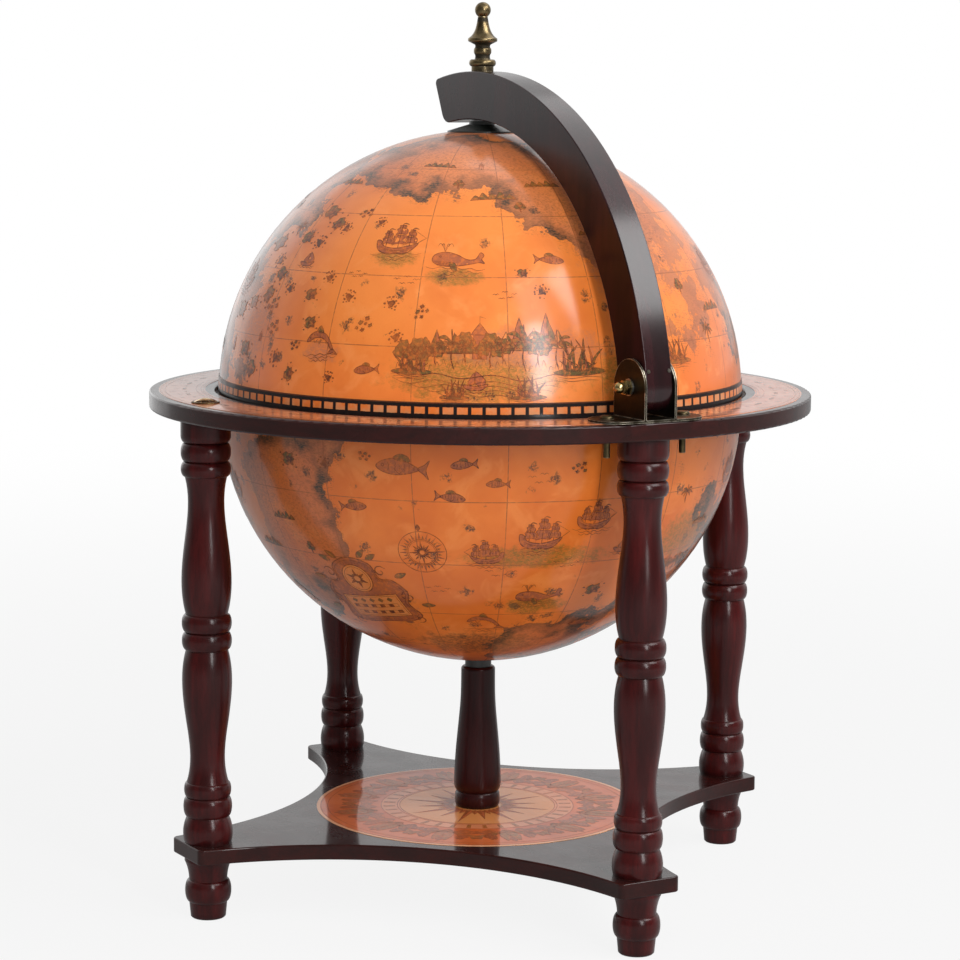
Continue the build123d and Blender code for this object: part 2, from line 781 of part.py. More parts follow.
with BuildPart() as bar_tray:
    with BuildSketch(Plane.XY.offset(tray_low_z)):
        Circle(sphere_depth(globe_inner_r, bowl_centre_z - tray_low_z) - drop_in)
        Circle(bottle_hole_r, mode=Mode.SUBTRACT)
        with PolarLocations(glass_circle_r, glass_count, start_angle=45):
            Circle(glass_hole_r, mode=Mode.SUBTRACT)
    extrude(amount=tray_thick)
    rims = bar_tray.faces().filter_by(Axis.Z).group_by(Axis.Z)[-1].edges()
    fillet(rims, hole_edge_round)
save(bar_tray.part, "bar_tray")

# ---- Dome --------------------------------------------------------------------------------
pole_hole_r = hub_tube_r + snug
dome_top_z = dome_base_z + globe_r
cap_edge_z = dome_base_z + sphere_depth(globe_r + glue_line, cap_r)
boss_low_z = cap_edge_z + cap_edge + cap_cone_h
arm_low_z = arm_centre_z + sphere_depth(arm_inner_r, arm_centre_x + cap_boss_r)
boss_top_z = arm_low_z - pole_washer_h - 2 * seat
hub_top_z = dome_top_z + hub_stand
hub_low_out_z = dome_base_z + sphere_depth(hoop_r, hub_flange_r)
dome_hub_low_z = hub_low_out_z - hub_flange_depth

with BuildPart() as dome_shell:
    with BuildSketch(Plane.XZ):
        with BuildLine():
            outer_arc = CenterArc((0, dome_base_z), globe_r, 0, 90)
            inner_arc = CenterArc((0, dome_base_z), globe_inner_r, 0, 90)
            Line(outer_arc @ 0, inner_arc @ 0)
            Line(outer_arc @ 1, inner_arc @ 1)
        make_face()
    revolve(axis=Axis.Z)
    with Locations((0, 0, dome_top_z)):
        Cylinder(pole_hole_r, 4 * shell_wall, mode=Mode.SUBTRACT)
save(dome_shell.part, "dome_shell")

with BuildPart() as equator_band:
    band_in_r = globe_r + glue_line
    band_out_r = band_in_r + band_thick
    low, high = (degrees(asin(h / globe_r)) for h in (band_low, band_high))
    with BuildSketch(Plane.XZ):
        with BuildLine():
            inner_arc = CenterArc((0, dome_base_z), band_in_r, low, high - low)
            outer_arc = CenterArc((0, dome_base_z), band_out_r, low, high - low)
            Line(inner_arc @ 0, outer_arc @ 0)
            Line(inner_arc @ 1, outer_arc @ 1)
        make_face()
    revolve(axis=Axis.Z)
save(equator_band.part, "equator_band")

with BuildPart() as dome_rim:
    with BuildSketch(Plane.XZ):
        hoop_top = sphere_depth(hoop_r, rim_hoop_h)
        with BuildLine():
            rim_arc = CenterArc(
                (0, dome_base_z), hoop_r, 0, degrees(asin(rim_hoop_h / hoop_r))
            )
            Polyline(
                rim_arc @ 0,
                (hoop_r - rim_hoop_wall, dome_base_z),
                (hoop_r - rim_hoop_wall, dome_base_z + rim_hoop_h),
                rim_arc @ 1,
            )
        make_face()
    revolve(axis=Axis.Z)
save(dome_rim.part, "dome_rim")

with BuildPart() as dome_hub:
    with BuildSketch(Plane.XZ):
        bore = rod_r + running
        flange_mid_r = (hub_tube_r + hub_flange_r) / 2
        tube_z = dome_base_z + sphere_depth(hoop_r, hub_tube_r)
        flange_mid_z = dome_base_z + sphere_depth(hoop_r, flange_mid_r)
        with BuildLine():
            Polyline(
                (hub_flange_r, hub_low_out_z),
                (hub_flange_r, dome_hub_low_z),
                (bore, dome_hub_low_z),
                (bore, hub_top_z),
                (hub_tube_r, hub_top_z),
                (hub_tube_r, tube_z),
            )
            ThreePointArc(
                (hub_tube_r, tube_z),
                (flange_mid_r, flange_mid_z),
                (hub_flange_r, hub_low_out_z),
            )
        make_face()
    revolve(axis=Axis.Z)
save(dome_hub.part, "dome_hub")

with BuildPart() as pole_cap:
    with BuildSketch(Plane.XZ):
        ball_r = globe_r + glue_line
        under_mid_r = (pole_hole_r + cap_r) / 2
        under_in_z = dome_base_z + sphere_depth(ball_r, pole_hole_r)
        under_mid_z = dome_base_z + sphere_depth(ball_r, under_mid_r)
        with BuildLine():
            ThreePointArc(
                (pole_hole_r, under_in_z), (under_mid_r, under_mid_z), (cap_r, cap_edge_z)
            )
            Polyline(
                (cap_r, cap_edge_z),
                (cap_r, cap_edge_z + cap_edge),
                (cap_boss_r, boss_low_z),
                (cap_boss_r, boss_top_z),
                (rod_r + loose, boss_top_z),
                (rod_r + loose, hub_top_z + seat),
                (pole_hole_r, hub_top_z + seat),
                (pole_hole_r, under_in_z),
            )
        make_face()
    revolve(axis=Axis.Z)
save(pole_cap.part, "pole_cap")

# ---- Meridian arm ------------------------------------------------------------------------
arm_plane = Plane.XZ.offset(-arm_width / 2)
arm_top_z = arm_centre_z + sphere_depth(arm_outer_r, arm_centre_x + finial_base_r)

# The two nails stand square to the arm's back.
nail_angle = asin((hinge_z + nail_rise - arm_centre_z) / arm_outer_r)
nail_way = Vector(cos(nail_angle), 0, sin(nail_angle))
arm_centre = Vector(arm_centre_x, 0, arm_centre_z)
nail_plane = Plane(origin=arm_centre + nail_way * arm_outer_r, x_dir=(0, 1, 0), z_dir=nail_way)

with BuildPart() as meridian_arm:
    with BuildSketch(arm_plane) as arm_outline:
        centre = (arm_centre_x, arm_centre_z)
        upper_sweep = arm_tip_upper_angle - hinge_angle
        lower_sweep = arm_tip_lower_angle - hinge_angle
        with BuildLine():
            outer_arc = CenterArc(centre, arm_outer_r, hinge_angle, upper_sweep)
            inner_arc = CenterArc(centre, arm_inner_r, hinge_angle, lower_sweep)
            Line(outer_arc @ 1, inner_arc @ 1)
            CenterArc((hinge_x, hinge_z), arm_depth / 2, hinge_angle + 180, 180)
        make_face()
        upper_corner = arm_outline.vertices().sort_by_distance(outer_arc @ 1)[0]
        fillet(upper_corner, arm_tip_upper_round)
        lower_corner = arm_outline.vertices().sort_by_distance(inner_arc @ 1)[0]
        fillet(lower_corner, arm_tip_lower_round)
    extrude(amount=arm_width)
    flanks = meridian_arm.faces().filter_by(Axis.Y)
    fillet(flanks.edges(), arm_edge_round)
    with Locations((0, 0, arm_centre_z + arm_mid_r)):
        Cylinder(rod_r + snug, 2 * arm_depth, mode=Mode.SUBTRACT)
    with BuildSketch(Plane.XY.offset(arm_top_z)):
        Circle(finial_base_r + loose)
    extrude(amount=arm_depth, mode=Mode.SUBTRACT)
    with BuildSketch(Plane.XY.offset(arm_low_z)):
        Circle(cap_boss_r)
    extrude(amount=-arm_depth, mode=Mode.SUBTRACT)
    with BuildSketch(arm_plane):
        with Locations((hinge_x, hinge_z)):
            Circle(pin_r + running + bush_wall)
    extrude(amount=arm_width, mode=Mode.SUBTRACT)
    with BuildSketch(nail_plane):
        with Locations((nail_y, 0), (-nail_y, 0)):
            Circle(nail_r + snug)
    extrude(amount=-nail_length, mode=Mode.SUBTRACT)
save(meridian_arm.part, "meridian_arm")

with BuildPart() as arm_bush:
    with BuildSketch(arm_plane):
        with Locations((hinge_x, hinge_z)):
            Circle(pin_r + running + bush_wall - snug)
            Circle(pin_r + running, mode=Mode.SUBTRACT)
    extrude(amount=arm_width)
save(arm_bush.part, "arm_bush")

with BuildPart() as arm_nails:
    with BuildSketch(nail_plane.offset(seat)):
        with Locations((nail_y, 0), (-nail_y, 0)):
            Circle(nail_head_r)
    extrude(amount=nail_head_h)
    with BuildSketch(nail_plane.offset(seat)):
        with Locations((nail_y, 0), (-nail_y, 0)):
            Circle(nail_r)
    extrude(amount=-nail_length)
save(arm_nails.part, "arm_nails")

# ---- Pole fittings carried by the arm ----------------------------------------------------
pole_disc_z = dome_hub_low_z - seat - pole_disc_h
pole_nut_z = pole_disc_z - pole_nut_h
rod_low_z = pole_nut_z - thread_past_nut

with BuildPart() as pole_rod:
    with BuildSketch(Plane.XY.offset(rod_low_z)):
        Circle(rod_r)
    extrude(amount=arm_top_z + rod_bite - rod_low_z)
save(pole_rod.part, "pole_rod")

with BuildPart() as pole_washers:
    for low, radius, height in (
        (pole_disc_z, pole_disc_r, pole_disc_h),
        (arm_low_z - pole_washer_h, pole_washer_r, pole_washer_h),
    ):
        with BuildSketch(Plane.XY.offset(low)):
            Circle(radius)
            Circle(rod_r + snug, mode=Mode.SUBTRACT)
        extrude(amount=height)
save(pole_washers.part, "pole_washers")

with BuildPart() as pole_nut:
    with BuildSketch(Plane.XY.offset(pole_nut_z)):
        RegularPolygon(pole_nut_r, 6)
        Circle(rod_r + snug, mode=Mode.SUBTRACT)
    extrude(amount=pole_nut_h)
save(pole_nut.part, "pole_nut")

with BuildPart() as finial:
    ball_h = finial_h - finial_ball_r
    stem_h = ball_h - sphere_depth(finial_ball_r, finial_stem_r)
    flare_r = finial_neck_r + finial_cove
    lip_r = finial_rim_r - finial_rim_lip
    with BuildSketch(Plane.XZ.shift_origin((0, 0, arm_top_z))):
        with BuildLine():
            Polyline(
                (0, 0),
                (finial_base_r, 0),
                (finial_base_r, finial_base_h),
                (finial_flange_in_r, finial_base_h),
            )
            bead(finial_base_h, finial_flange_h, finial_flange_in_r, finial_flange_r)
            Line((finial_flange_in_r, finial_flange_h), (flare_r, finial_flange_h))
            ThreePointArc(
                (flare_r, finial_flange_h),
                (finial_neck_r, finial_lower_neck_h),
                (flare_r, finial_ring_low_h),
            )
            bead(finial_ring_low_h, finial_ring_high_h, flare_r, finial_ring_r)
            ThreePointArc(
                (flare_r, finial_ring_high_h),
                (finial_neck_r, finial_upper_neck_h),
                (flare_r, finial_cup_h),
            )
            Line((flare_r, finial_cup_h), (lip_r, finial_rim_low_h))
            bead(finial_rim_low_h, finial_rim_high_h, lip_r, finial_rim_r)
            Spline(
                (lip_r, finial_rim_high_h),
                (finial_bell_r, finial_bell_h),
                (finial_waist_r, finial_waist_h),
                (finial_stem_r, stem_h),
            )
            ThreePointArc(
                (finial_stem_r, stem_h), (finial_ball_r, ball_h), (0, finial_h)
            )
            Line((0, finial_h), (0, 0))
        make_face()
    revolve(axis=Axis.Z)
    with BuildSketch(Plane.XY.offset(arm_top_z)):
        Circle(rod_r + snug)
    extrude(amount=rod_bite + seat, mode=Mode.SUBTRACT)
save(finial.part, "finial")
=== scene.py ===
"""Looks of the tabletop globe bar: finishes, printed marks and the studio for the packed part."""

import json
from math import cos, hypot, pi, radians, sin, tau
from types import SimpleNamespace

import bmesh
import bpy
from bpy.props import FloatProperty, FloatVectorProperty, IntProperty, PointerProperty
from mathutils import Matrix, Vector, geometry
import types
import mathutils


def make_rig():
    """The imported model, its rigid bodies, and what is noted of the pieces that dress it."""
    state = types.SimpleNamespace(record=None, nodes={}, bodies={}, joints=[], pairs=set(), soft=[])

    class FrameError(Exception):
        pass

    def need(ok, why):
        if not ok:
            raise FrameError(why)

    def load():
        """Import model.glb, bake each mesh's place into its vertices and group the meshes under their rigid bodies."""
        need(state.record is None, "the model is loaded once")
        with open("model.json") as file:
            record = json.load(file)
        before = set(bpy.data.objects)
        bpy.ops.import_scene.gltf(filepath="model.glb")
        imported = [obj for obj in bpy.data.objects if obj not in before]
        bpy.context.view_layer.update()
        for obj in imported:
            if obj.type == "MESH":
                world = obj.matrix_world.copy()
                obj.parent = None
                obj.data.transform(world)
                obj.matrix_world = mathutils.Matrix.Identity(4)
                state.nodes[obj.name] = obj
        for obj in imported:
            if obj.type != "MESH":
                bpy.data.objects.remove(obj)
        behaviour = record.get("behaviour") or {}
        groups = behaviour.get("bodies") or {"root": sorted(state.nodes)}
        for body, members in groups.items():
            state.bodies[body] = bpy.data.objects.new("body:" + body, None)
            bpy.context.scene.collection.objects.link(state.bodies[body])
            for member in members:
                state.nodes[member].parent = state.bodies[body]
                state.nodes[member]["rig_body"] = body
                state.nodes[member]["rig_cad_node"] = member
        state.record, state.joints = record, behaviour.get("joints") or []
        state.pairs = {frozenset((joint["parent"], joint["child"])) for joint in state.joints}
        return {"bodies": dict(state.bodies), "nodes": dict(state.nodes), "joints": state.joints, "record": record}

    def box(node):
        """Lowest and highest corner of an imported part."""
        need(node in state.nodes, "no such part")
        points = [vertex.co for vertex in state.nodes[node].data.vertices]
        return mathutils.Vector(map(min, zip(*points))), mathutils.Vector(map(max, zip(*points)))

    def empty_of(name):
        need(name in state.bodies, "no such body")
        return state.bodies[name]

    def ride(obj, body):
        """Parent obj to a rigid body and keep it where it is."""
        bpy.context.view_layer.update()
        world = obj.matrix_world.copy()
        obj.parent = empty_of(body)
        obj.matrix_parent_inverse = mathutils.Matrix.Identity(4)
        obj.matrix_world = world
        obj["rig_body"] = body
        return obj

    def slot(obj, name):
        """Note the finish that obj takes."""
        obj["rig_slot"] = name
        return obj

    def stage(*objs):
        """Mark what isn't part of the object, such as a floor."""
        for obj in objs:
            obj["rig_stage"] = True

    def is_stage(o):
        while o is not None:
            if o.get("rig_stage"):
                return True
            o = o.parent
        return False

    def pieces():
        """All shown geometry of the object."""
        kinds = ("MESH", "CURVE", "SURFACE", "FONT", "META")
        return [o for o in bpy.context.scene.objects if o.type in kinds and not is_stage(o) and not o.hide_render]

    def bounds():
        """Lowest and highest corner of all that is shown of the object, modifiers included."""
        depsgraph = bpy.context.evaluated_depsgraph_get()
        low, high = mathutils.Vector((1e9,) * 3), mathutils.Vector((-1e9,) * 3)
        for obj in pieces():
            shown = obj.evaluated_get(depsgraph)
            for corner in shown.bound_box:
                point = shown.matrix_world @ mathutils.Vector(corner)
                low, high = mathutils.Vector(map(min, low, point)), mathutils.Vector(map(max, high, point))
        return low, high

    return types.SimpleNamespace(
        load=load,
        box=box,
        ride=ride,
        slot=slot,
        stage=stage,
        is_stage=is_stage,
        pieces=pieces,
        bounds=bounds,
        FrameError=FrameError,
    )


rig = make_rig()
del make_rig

bl_info = {
    "name": "Globe Bar Looks",
    "version": (1, 0, 0),
    "blender": (4, 5, 0),
    "location": "3D View > Sidebar > Globe Bar",
    "description": "Finishes, printed marks and studio for a tabletop globe bar",
    "category": "Object",
}

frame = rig.load()
part_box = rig.bounds()

MM = 0.001
GLOBE_R = 0.165
DOME_MIDDLE_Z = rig.box("dome_shell")[1].z - GLOBE_R
BOWL_MIDDLE_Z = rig.box("bowl_shell")[0].z + GLOBE_R
RING_PRINT_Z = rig.box("ring_print")[1].z
MEDALLION_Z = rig.box("shelf_medallion")[1].z
MEDALLION_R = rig.box("shelf_medallion")[1].x
DIAL_LOW, DIAL_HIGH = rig.box("compass_dial")
DIAL_MIDDLE = (DIAL_LOW + DIAL_HIGH) / 2
BAND_LOW, BAND_HIGH = (corner.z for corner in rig.box("equator_band"))


# ---- Settings ----------------------------------------------------------------------------


def colour(name, description, default):
    """A colour setting with its own default."""
    return FloatVectorProperty(
        name=name, description=description, default=default, subtype="COLOR", size=3, min=0, max=1
    )


def length(name, description, default):
    """A length setting in metres."""
    return FloatProperty(
        name=name, description=description, default=default, min=0, unit="LENGTH", precision=5
    )


def share(name, description, default):
    """A setting from 0 to 1."""
    return FloatProperty(
        name=name, description=description, default=default, min=0, max=1, subtype="FACTOR"
    )


def angle(name, description, default):
    """An angle setting, given here in degrees."""
    return FloatProperty(
        name=name, description=description, default=radians(default), unit="ROTATION"
    )


def power(name, description, default):
    """A lamp's power in watts."""
    return FloatProperty(name=name, description=description, default=default, min=0, unit="POWER")


class GlobePaperSettings(bpy.types.PropertyGroup):
    """Colours and line work of the printed map on the globe."""

    sea: colour("Sea", "Paper colour of the open sea", (0.9, 0.255, 0.047))
    sea_deep: colour("Aged sea", "Paper colour where the varnish has darkened", (0.76, 0.18, 0.028))
    sea_pale: colour("Faded sea", "Paper colour where the print has faded", (0.93, 0.31, 0.08))
    land: colour("Land", "Tint of the land", (0.5, 0.17, 0.085))
    coast: colour("Coast", "Shading along the coasts", (0.056, 0.04, 0.024))
    meadow: colour("Meadow", "Green-brown ground under the drawn scenes", (0.19, 0.13, 0.022))
    line: colour("Map line", "Meridians and parallels", (0.3, 0.085, 0.028))
    meridian_gap: angle("Meridian gap", "Angle between two meridians", 20)
    first_meridian: angle("First meridian", "Where the meridians start", -4)
    parallel_gap: angle("Parallel gap", "Angle between two parallels", 15)
    line_width: length("Line width", "Width of meridians and parallels", 0.0004)


class InkSettings(bpy.types.PropertyGroup):
    """Drawn marks on the papers."""

    ink: colour("Ink", "Drawn lines", (0.105, 0.036, 0.018))
    russet: colour("Russet tint", "Tint inside hulls, sails and fish", (0.36, 0.1, 0.045))
    olive: colour("Olive tint", "Tint inside leaves and islands", (0.13, 0.09, 0.028))
    pale: colour("Pale tint", "Tint inside plates and shields", (0.8, 0.27, 0.075))
    stroke: length("Stroke", "Width of a drawn line at its middle", 0.00042)
    lift: length("Lift", "Height of the drawn marks over the paper", 0.00016)


class BandSettings(bpy.types.PropertyGroup):
    """Chequered band round the dome's rim."""

    ground: colour("Ground", "Dark ground of the band", (0.012, 0.008, 0.008))
    dash: colour("Dash", "Light blocks of the band", (0.66, 0.29, 0.13))
    count: IntProperty(name="Blocks", description="Light blocks round the band", default=124, min=8)
    fill: share("Block share", "Share of the pitch that a block fills", 0.75)
    low: length("Block low", "Bottom of the blocks over the band's lower edge", 0.0031)
    high: length("Block high", "Top of the blocks over the band's lower edge", 0.0071)


class FlatPaperSettings(bpy.types.PropertyGroup):
    """Papers glued on the ring and the shelf."""

    ring: colour("Ring paper", "Paper on the ring", (0.8, 0.3, 0.15))
    ring_deep: colour("Ring paper, aged", "Darker clouds in the ring's paper", (0.6, 0.17, 0.06))
    medallion: colour("Medallion", "Outer paper on the shelf", (0.72, 0.17, 0.04))
    medallion_deep: colour("Medallion, aged", "Darker clouds in it", (0.55, 0.105, 0.02))
    heart: colour("Medallion heart", "Paler disc in its middle", (0.74, 0.3, 0.09))
    border: colour("Medallion border", "Pale rim line", (0.85, 0.42, 0.22))
    heart_r: length("Heart radius", "Radius of the paler disc", 0.050)


class WoodSettings(bpy.types.PropertyGroup):
    """Lacquered wood of the stand, the arm and the bar."""

    board_dark: colour("Board, dark", "Dark figure of ring and shelf", (0.019, 0.0045, 0.0038))
    board_red: colour("Board, red", "Red figure of ring and shelf", (0.034, 0.0052, 0.0042))
    leg_dark: colour("Leg, dark", "Dark figure of the turned legs", (0.026, 0.0035, 0.0035))
    leg_red: colour("Leg, red", "Red figure of the turned legs", (0.068, 0.0062, 0.0062))
    # The column's colours are the legs' made darker: painted shade, for the column standing in shade under the bowl.
    column_dark: colour("Column, dark", "Dark figure of the centre column", (0.014, 0.0028, 0.0028))
    column_red: colour("Column, red", "Red figure of the centre column", (0.032, 0.0042, 0.0042))
    arm_dark: colour("Arm, dark", "Dark figure of the arm", (0.011, 0.003, 0.0036))
    arm_red: colour("Arm, brown", "Brown figure of the arm", (0.028, 0.0052, 0.0066))
    tray_dark: colour("Tray, dark", "Dark figure of the tray", (0.03, 0.008, 0.006))
    tray_red: colour("Tray, red", "Red figure of the tray", (0.12, 0.028, 0.018))
    worn: colour("Rubbed edge", "Where the lacquer is rubbed thin", (0.17, 0.055, 0.04))
    ply_pale: colour("Ply, pale", "Pale layers of the hoops", (0.5, 0.3, 0.15))
    ply_dark: colour("Ply, dark", "Glue lines of the hoops", (0.22, 0.11, 0.05))


class MetalSettings(bpy.types.PropertyGroup):
    """Brass, steel and plastic fittings."""

    brass_worn: colour("Brass, worn", "Bare rubbed brass", (0.62, 0.5, 0.32))
    brass_aged: colour("Brass, aged", "Brass under its patina", (0.12, 0.09, 0.045))
    # Also painted into the finial's necks as shade.
    brass_black: colour("Patina", "Dark patina in the recesses", (0.022, 0.017, 0.01))
    bright: colour("Bright brass", "Polished brass", (0.7, 0.52, 0.22))
    zinc: colour("Zinc", "Zinc-plated steel", (0.56, 0.57, 0.58))
    black: colour("Black plastic", "Moulded pole fittings", (0.012, 0.014, 0.012))
    nylon: colour("Nylon", "Pale washers", (0.66, 0.63, 0.56))


class StageSettings(bpy.types.PropertyGroup):
    """Camera, lamps, floor and background."""

    camera_place: FloatVectorProperty(
        name="Camera place",
        description="Where the camera stands",
        default=(1.6190, -0.92916, 0.51599),
        subtype="TRANSLATION",
        unit="LENGTH",
        precision=4,
    )
    camera_aim: FloatVectorProperty(
        name="Camera aim",
        description="Point that the camera looks at",
        default=(0.00015, 0.00026, 0.25941),
        subtype="TRANSLATION",
        unit="LENGTH",
        precision=4,
    )
    camera_roll: angle("Camera roll", "Lean of the camera about its own line of sight", -0.411)
    lens: FloatProperty(
        name="Lens", description="Focal length", default=111.04, min=10, unit="CAMERA"
    )
    sky: FloatProperty(
        name="Fill light", description="Strength of the light from all round", default=0.32, min=0
    )
    front_gloss: share("Front gloss", "Brightness that gloss mirrors from the dim side", 0.12)
    back_gloss: share("Back gloss", "Brightness that gloss mirrors from the far side", 0.75)
    key: power("Key lamp", "Large soft lamp in front", 14.6)
    side: power("Side lamp", "Soft lamp high on the right", 32)
    strip: power("Strip lamp", "Upright soft lamp right of the middle", 14)
    tall: power("Tall lamp", "Faint upright lamp behind the strip", 7)
    sheen: power("Sheen lamp", "Panel behind that only shows in the gloss", 9.8)
    haze: power("Haze lamp", "Panel far left that only shows in the gloss", 4.5)
    fill: power("Fill lamp", "Low lamp in front of the bowl", 9)
    floor: colour("Floor", "Plain pale floor", (0.42, 0.42, 0.42))


SETTING_GROUPS = {
    "paper": GlobePaperSettings,
    "ink": InkSettings,
    "band": BandSettings,
    "flat": FlatPaperSettings,
    "wood": WoodSettings,
    "metal": MetalSettings,
    "stage": StageSettings,
}


def settings(context, name):
    """One group of this scene's settings."""
    return getattr(context.scene, "globe_bar_" + name)


# ---- Building node trees -----------------------------------------------------------------


class Wire:
    """One output of a node. Sums and the calls below add nodes that read it."""

    def __init__(self, bench, socket):
        self.bench, self.socket = bench, socket

    def work(self, operation, *values):
        """Math on plain values, Vector Math where this wire is a vector or a colour."""
        add = self.bench.math if self.socket.type == "VALUE" else self.bench.vector
        return add(operation, *values)

    def __add__(self, other):
        return self.work("ADD", self, other)

    def __radd__(self, other):
        return self.work("ADD", other, self)

    def __sub__(self, other):
        return self.work("SUBTRACT", self, other)

    def __rsub__(self, other):
        return self.work("SUBTRACT", other, self)

    def __mul__(self, other):
        return self.work("MULTIPLY", self, other)

    def __truediv__(self, other):
        return self.work("DIVIDE", self, other)

    def __abs__(self):
        return self.work("ABSOLUTE", self)

    def fract(self):
        """What is left over the whole number below."""
        return self.work("FRACT", self)

    def scaled(self, by):
        """This vector times one number."""
        return self.work("SCALE", self, by)

    def part(self, axis):
        """One of a vector's coordinates: x, y or z."""
        return getattr(self.bench.add("SeparateXYZ", {"Vector": self}), axis)

    def ramp(self, start, end, low=0.0, high=1.0):
        """Smooth step from low at start to high at end."""
        ends = {"From Min": start, "From Max": end, "To Min": low, "To Max": high}
        values = {"Value": self, **ends}
        return self.bench.add("MapRange", values, interpolation_type="SMOOTHSTEP").result

    def between(self, low, high, soft):
        """1 between low and high, fading to 0 over a soft width inside each."""
        return self.ramp(low, low + soft) * self.ramp(high - soft, high, 1.0, 0.0)

    def noise(self, scale, detail=3.0, rough=0.55, warp=0.0):
        """Value of a noise texture at this point."""
        values = {"Scale": scale, "Detail": detail, "Roughness": rough, "Distortion": warp}
        return self.bench.add("TexNoise", {"Vector": self, **values}).fac


def named(sockets, name):
    """The socket of that name, given in small letters with _ for a space."""
    return next(s for s in sockets if s.name.lower() == name.replace("_", " "))


class Bench:
    """Adds nodes to one node tree. A value is a number, a colour, a vector or a wire."""

    # Places of the Mix node's sockets: its amount, then both plain values and both colours.
    AMOUNT, PLAIN, COLOURS = 0, (2, 3), (6, 7)
    PLAIN_OUT, COLOUR_OUT = 0, 2
    COLUMNS, COLUMN_WIDTH, ROW_HEIGHT = 12, 190, 260

    def __init__(self, tree):
        self.tree, self.made = tree, 0

    def join(self, socket, value):
        """Links a wire to the socket, or sets its plain value."""
        if isinstance(value, Wire):
            self.tree.links.new(value.socket, socket)
        elif socket.type == "RGBA" and len(value) == 3:
            socket.default_value = (*value, 1)
        else:
            socket.default_value = value

    def node(self, kind, values=None, **choices):
        """A new node, with its choices set and its sockets joined."""
        node = self.tree.nodes.new("ShaderNode" + kind)
        row, column = divmod(self.made, self.COLUMNS)
        node.location = (column * self.COLUMN_WIDTH, -row * self.ROW_HEIGHT)
        self.made += 1
        for name, choice in choices.items():
            setattr(node, name, choice)
        for name, value in (values or {}).items():
            self.join(node.inputs[name], value)
        return node

    def wires(self, sockets):
        """Wires of these outputs, by their names in small letters with _ for a space.

        Where two outputs have one name, the first of them counts.
        """
        names = {s.name.lower().replace(" ", "_"): Wire(self, s) for s in reversed(sockets)}
        return SimpleNamespace(**names)

    def add(self, kind, values=None, **choices):
        """Wires of a new node's outputs."""
        return self.wires(self.node(kind, values, **choices).outputs[:])

    def math(self, operation, *values):
        """Result of a Math node."""
        return self.add("Math", dict(enumerate(values)), operation=operation).value

    def vector(self, operation, *values):
        """Result of a Vector Math node."""
        sockets = [0, "Scale"] if operation == "SCALE" else range(len(values))
        out = self.add("VectorMath", dict(zip(sockets, values)), operation=operation)
        return out.value if operation in ("LENGTH", "DOT_PRODUCT") else out.vector

    def mix(self, amount, first, second):
        """Colour between two colours."""
        values = {self.AMOUNT: amount, **dict(zip(self.COLOURS, (first, second)))}
        return Wire(self, self.node("Mix", values, data_type="RGBA").outputs[self.COLOUR_OUT])

    def choose(self, amount, first, second):
        """Value between two values."""
        values = {self.AMOUNT: amount, **dict(zip(self.PLAIN, (first, second)))}
        return Wire(self, self.node("Mix", values, data_type="FLOAT").outputs[self.PLAIN_OUT])


SOCKET_KINDS = {"VALUE": "NodeSocketFloat", "VECTOR": "NodeSocketVector", "RGBA": "NodeSocketColor"}


def input_kind(default):
    """Kind of an effect's input, told by its default."""
    if isinstance(default, float):
        return "VALUE"
    return "RGBA" if default and len(default) == 4 else "VECTOR"


def new_group(title, inputs, build):
    """Node group of an effect. Its inputs come first, and its outputs are what build gives."""
    tree = bpy.data.node_groups.new(title, "ShaderNodeTree")

    def socket(name, side, kind):
        name = name.replace("_", " ").title()
        return tree.interface.new_socket(name=name, in_out=side, socket_type=SOCKET_KINDS[kind])

    for name, default in inputs.items():
        made = socket(name, "INPUT", input_kind(default))
        if default is not None:
            made.default_value = default
    bench = Bench(tree)
    entry, leave = tree.nodes.new("NodeGroupInput"), tree.nodes.new("NodeGroupOutput")
    given = vars(bench.wires(entry.outputs[: len(inputs)]))
    for place, (name, wire) in enumerate(build(bench, **given).items()):
        socket(name, "OUTPUT", wire.socket.type)
        bench.join(leave.inputs[place], wire)
    return tree


def shared_effect(title, **inputs):
    """Makes the function below into a node group, built once and placed wherever it is called.

    An input's default is a number, None or three numbers for a vector, four for a colour.
    """

    def wrap(build):
        def place(b, **values):
            tree = bpy.data.node_groups.get(title) or new_group(title, inputs, build)
            if "point" in inputs:
                values["point"] = b.point
            node = b.node("Group", node_tree=tree)
            for name, value in values.items():
                b.join(named(node.inputs, name), value)
            return b.wires(node.outputs[:])

        place.__doc__ = build.__doc__
        return place

    return wrap


# ---- Shared effects ----------------------------------------------------------------------


@shared_effect("Globe Place", point=None, middle_height=DOME_MIDDLE_Z)
def globe_place(b, point, middle_height):
    """Turns a point into its bearing, height angle, direction and reach from the globe's middle."""
    arm = point - b.add("CombineXYZ", {"Z": middle_height}).vector
    aim = b.vector("NORMALIZE", arm)
    along = b.add("SeparateXYZ", {"Vector": aim})
    return {
        "east": b.math("ARCTAN2", along.y, along.x),
        "north": b.math("ARCSINE", along.z),
        "aim": aim,
        "reach": b.vector("LENGTH", arm),
    }


@shared_effect(
    "Map Lines",
    aim=None,
    east=0.0,
    north=0.0,
    meridian_gap=radians(20),
    first_meridian=0.0,
    parallel_gap=radians(15),
    line_width=0.0004,
)
def map_lines(b, aim, east, north, meridian_gap, first_meridian, parallel_gap, line_width):
    """Thin meridians and parallels, a little uneven as printed lines are."""

    def off_line(bearing, gap, first):
        turns = (bearing - first) / gap
        return abs((turns + 0.5).fract() - 0.5) * gap

    across = off_line(east, meridian_gap, first_meridian) * b.math("COSINE", north)
    near = b.math("MINIMUM", across, off_line(north, parallel_gap, 0.0)) * GLOBE_R
    half = line_width * 0.5
    line = near.ramp(half, half * 1.9, 1.0, 0.0)
    return {"line": line * aim.noise(60.0, 2.0).ramp(0.25, 0.6, 0.35, 1.0)}


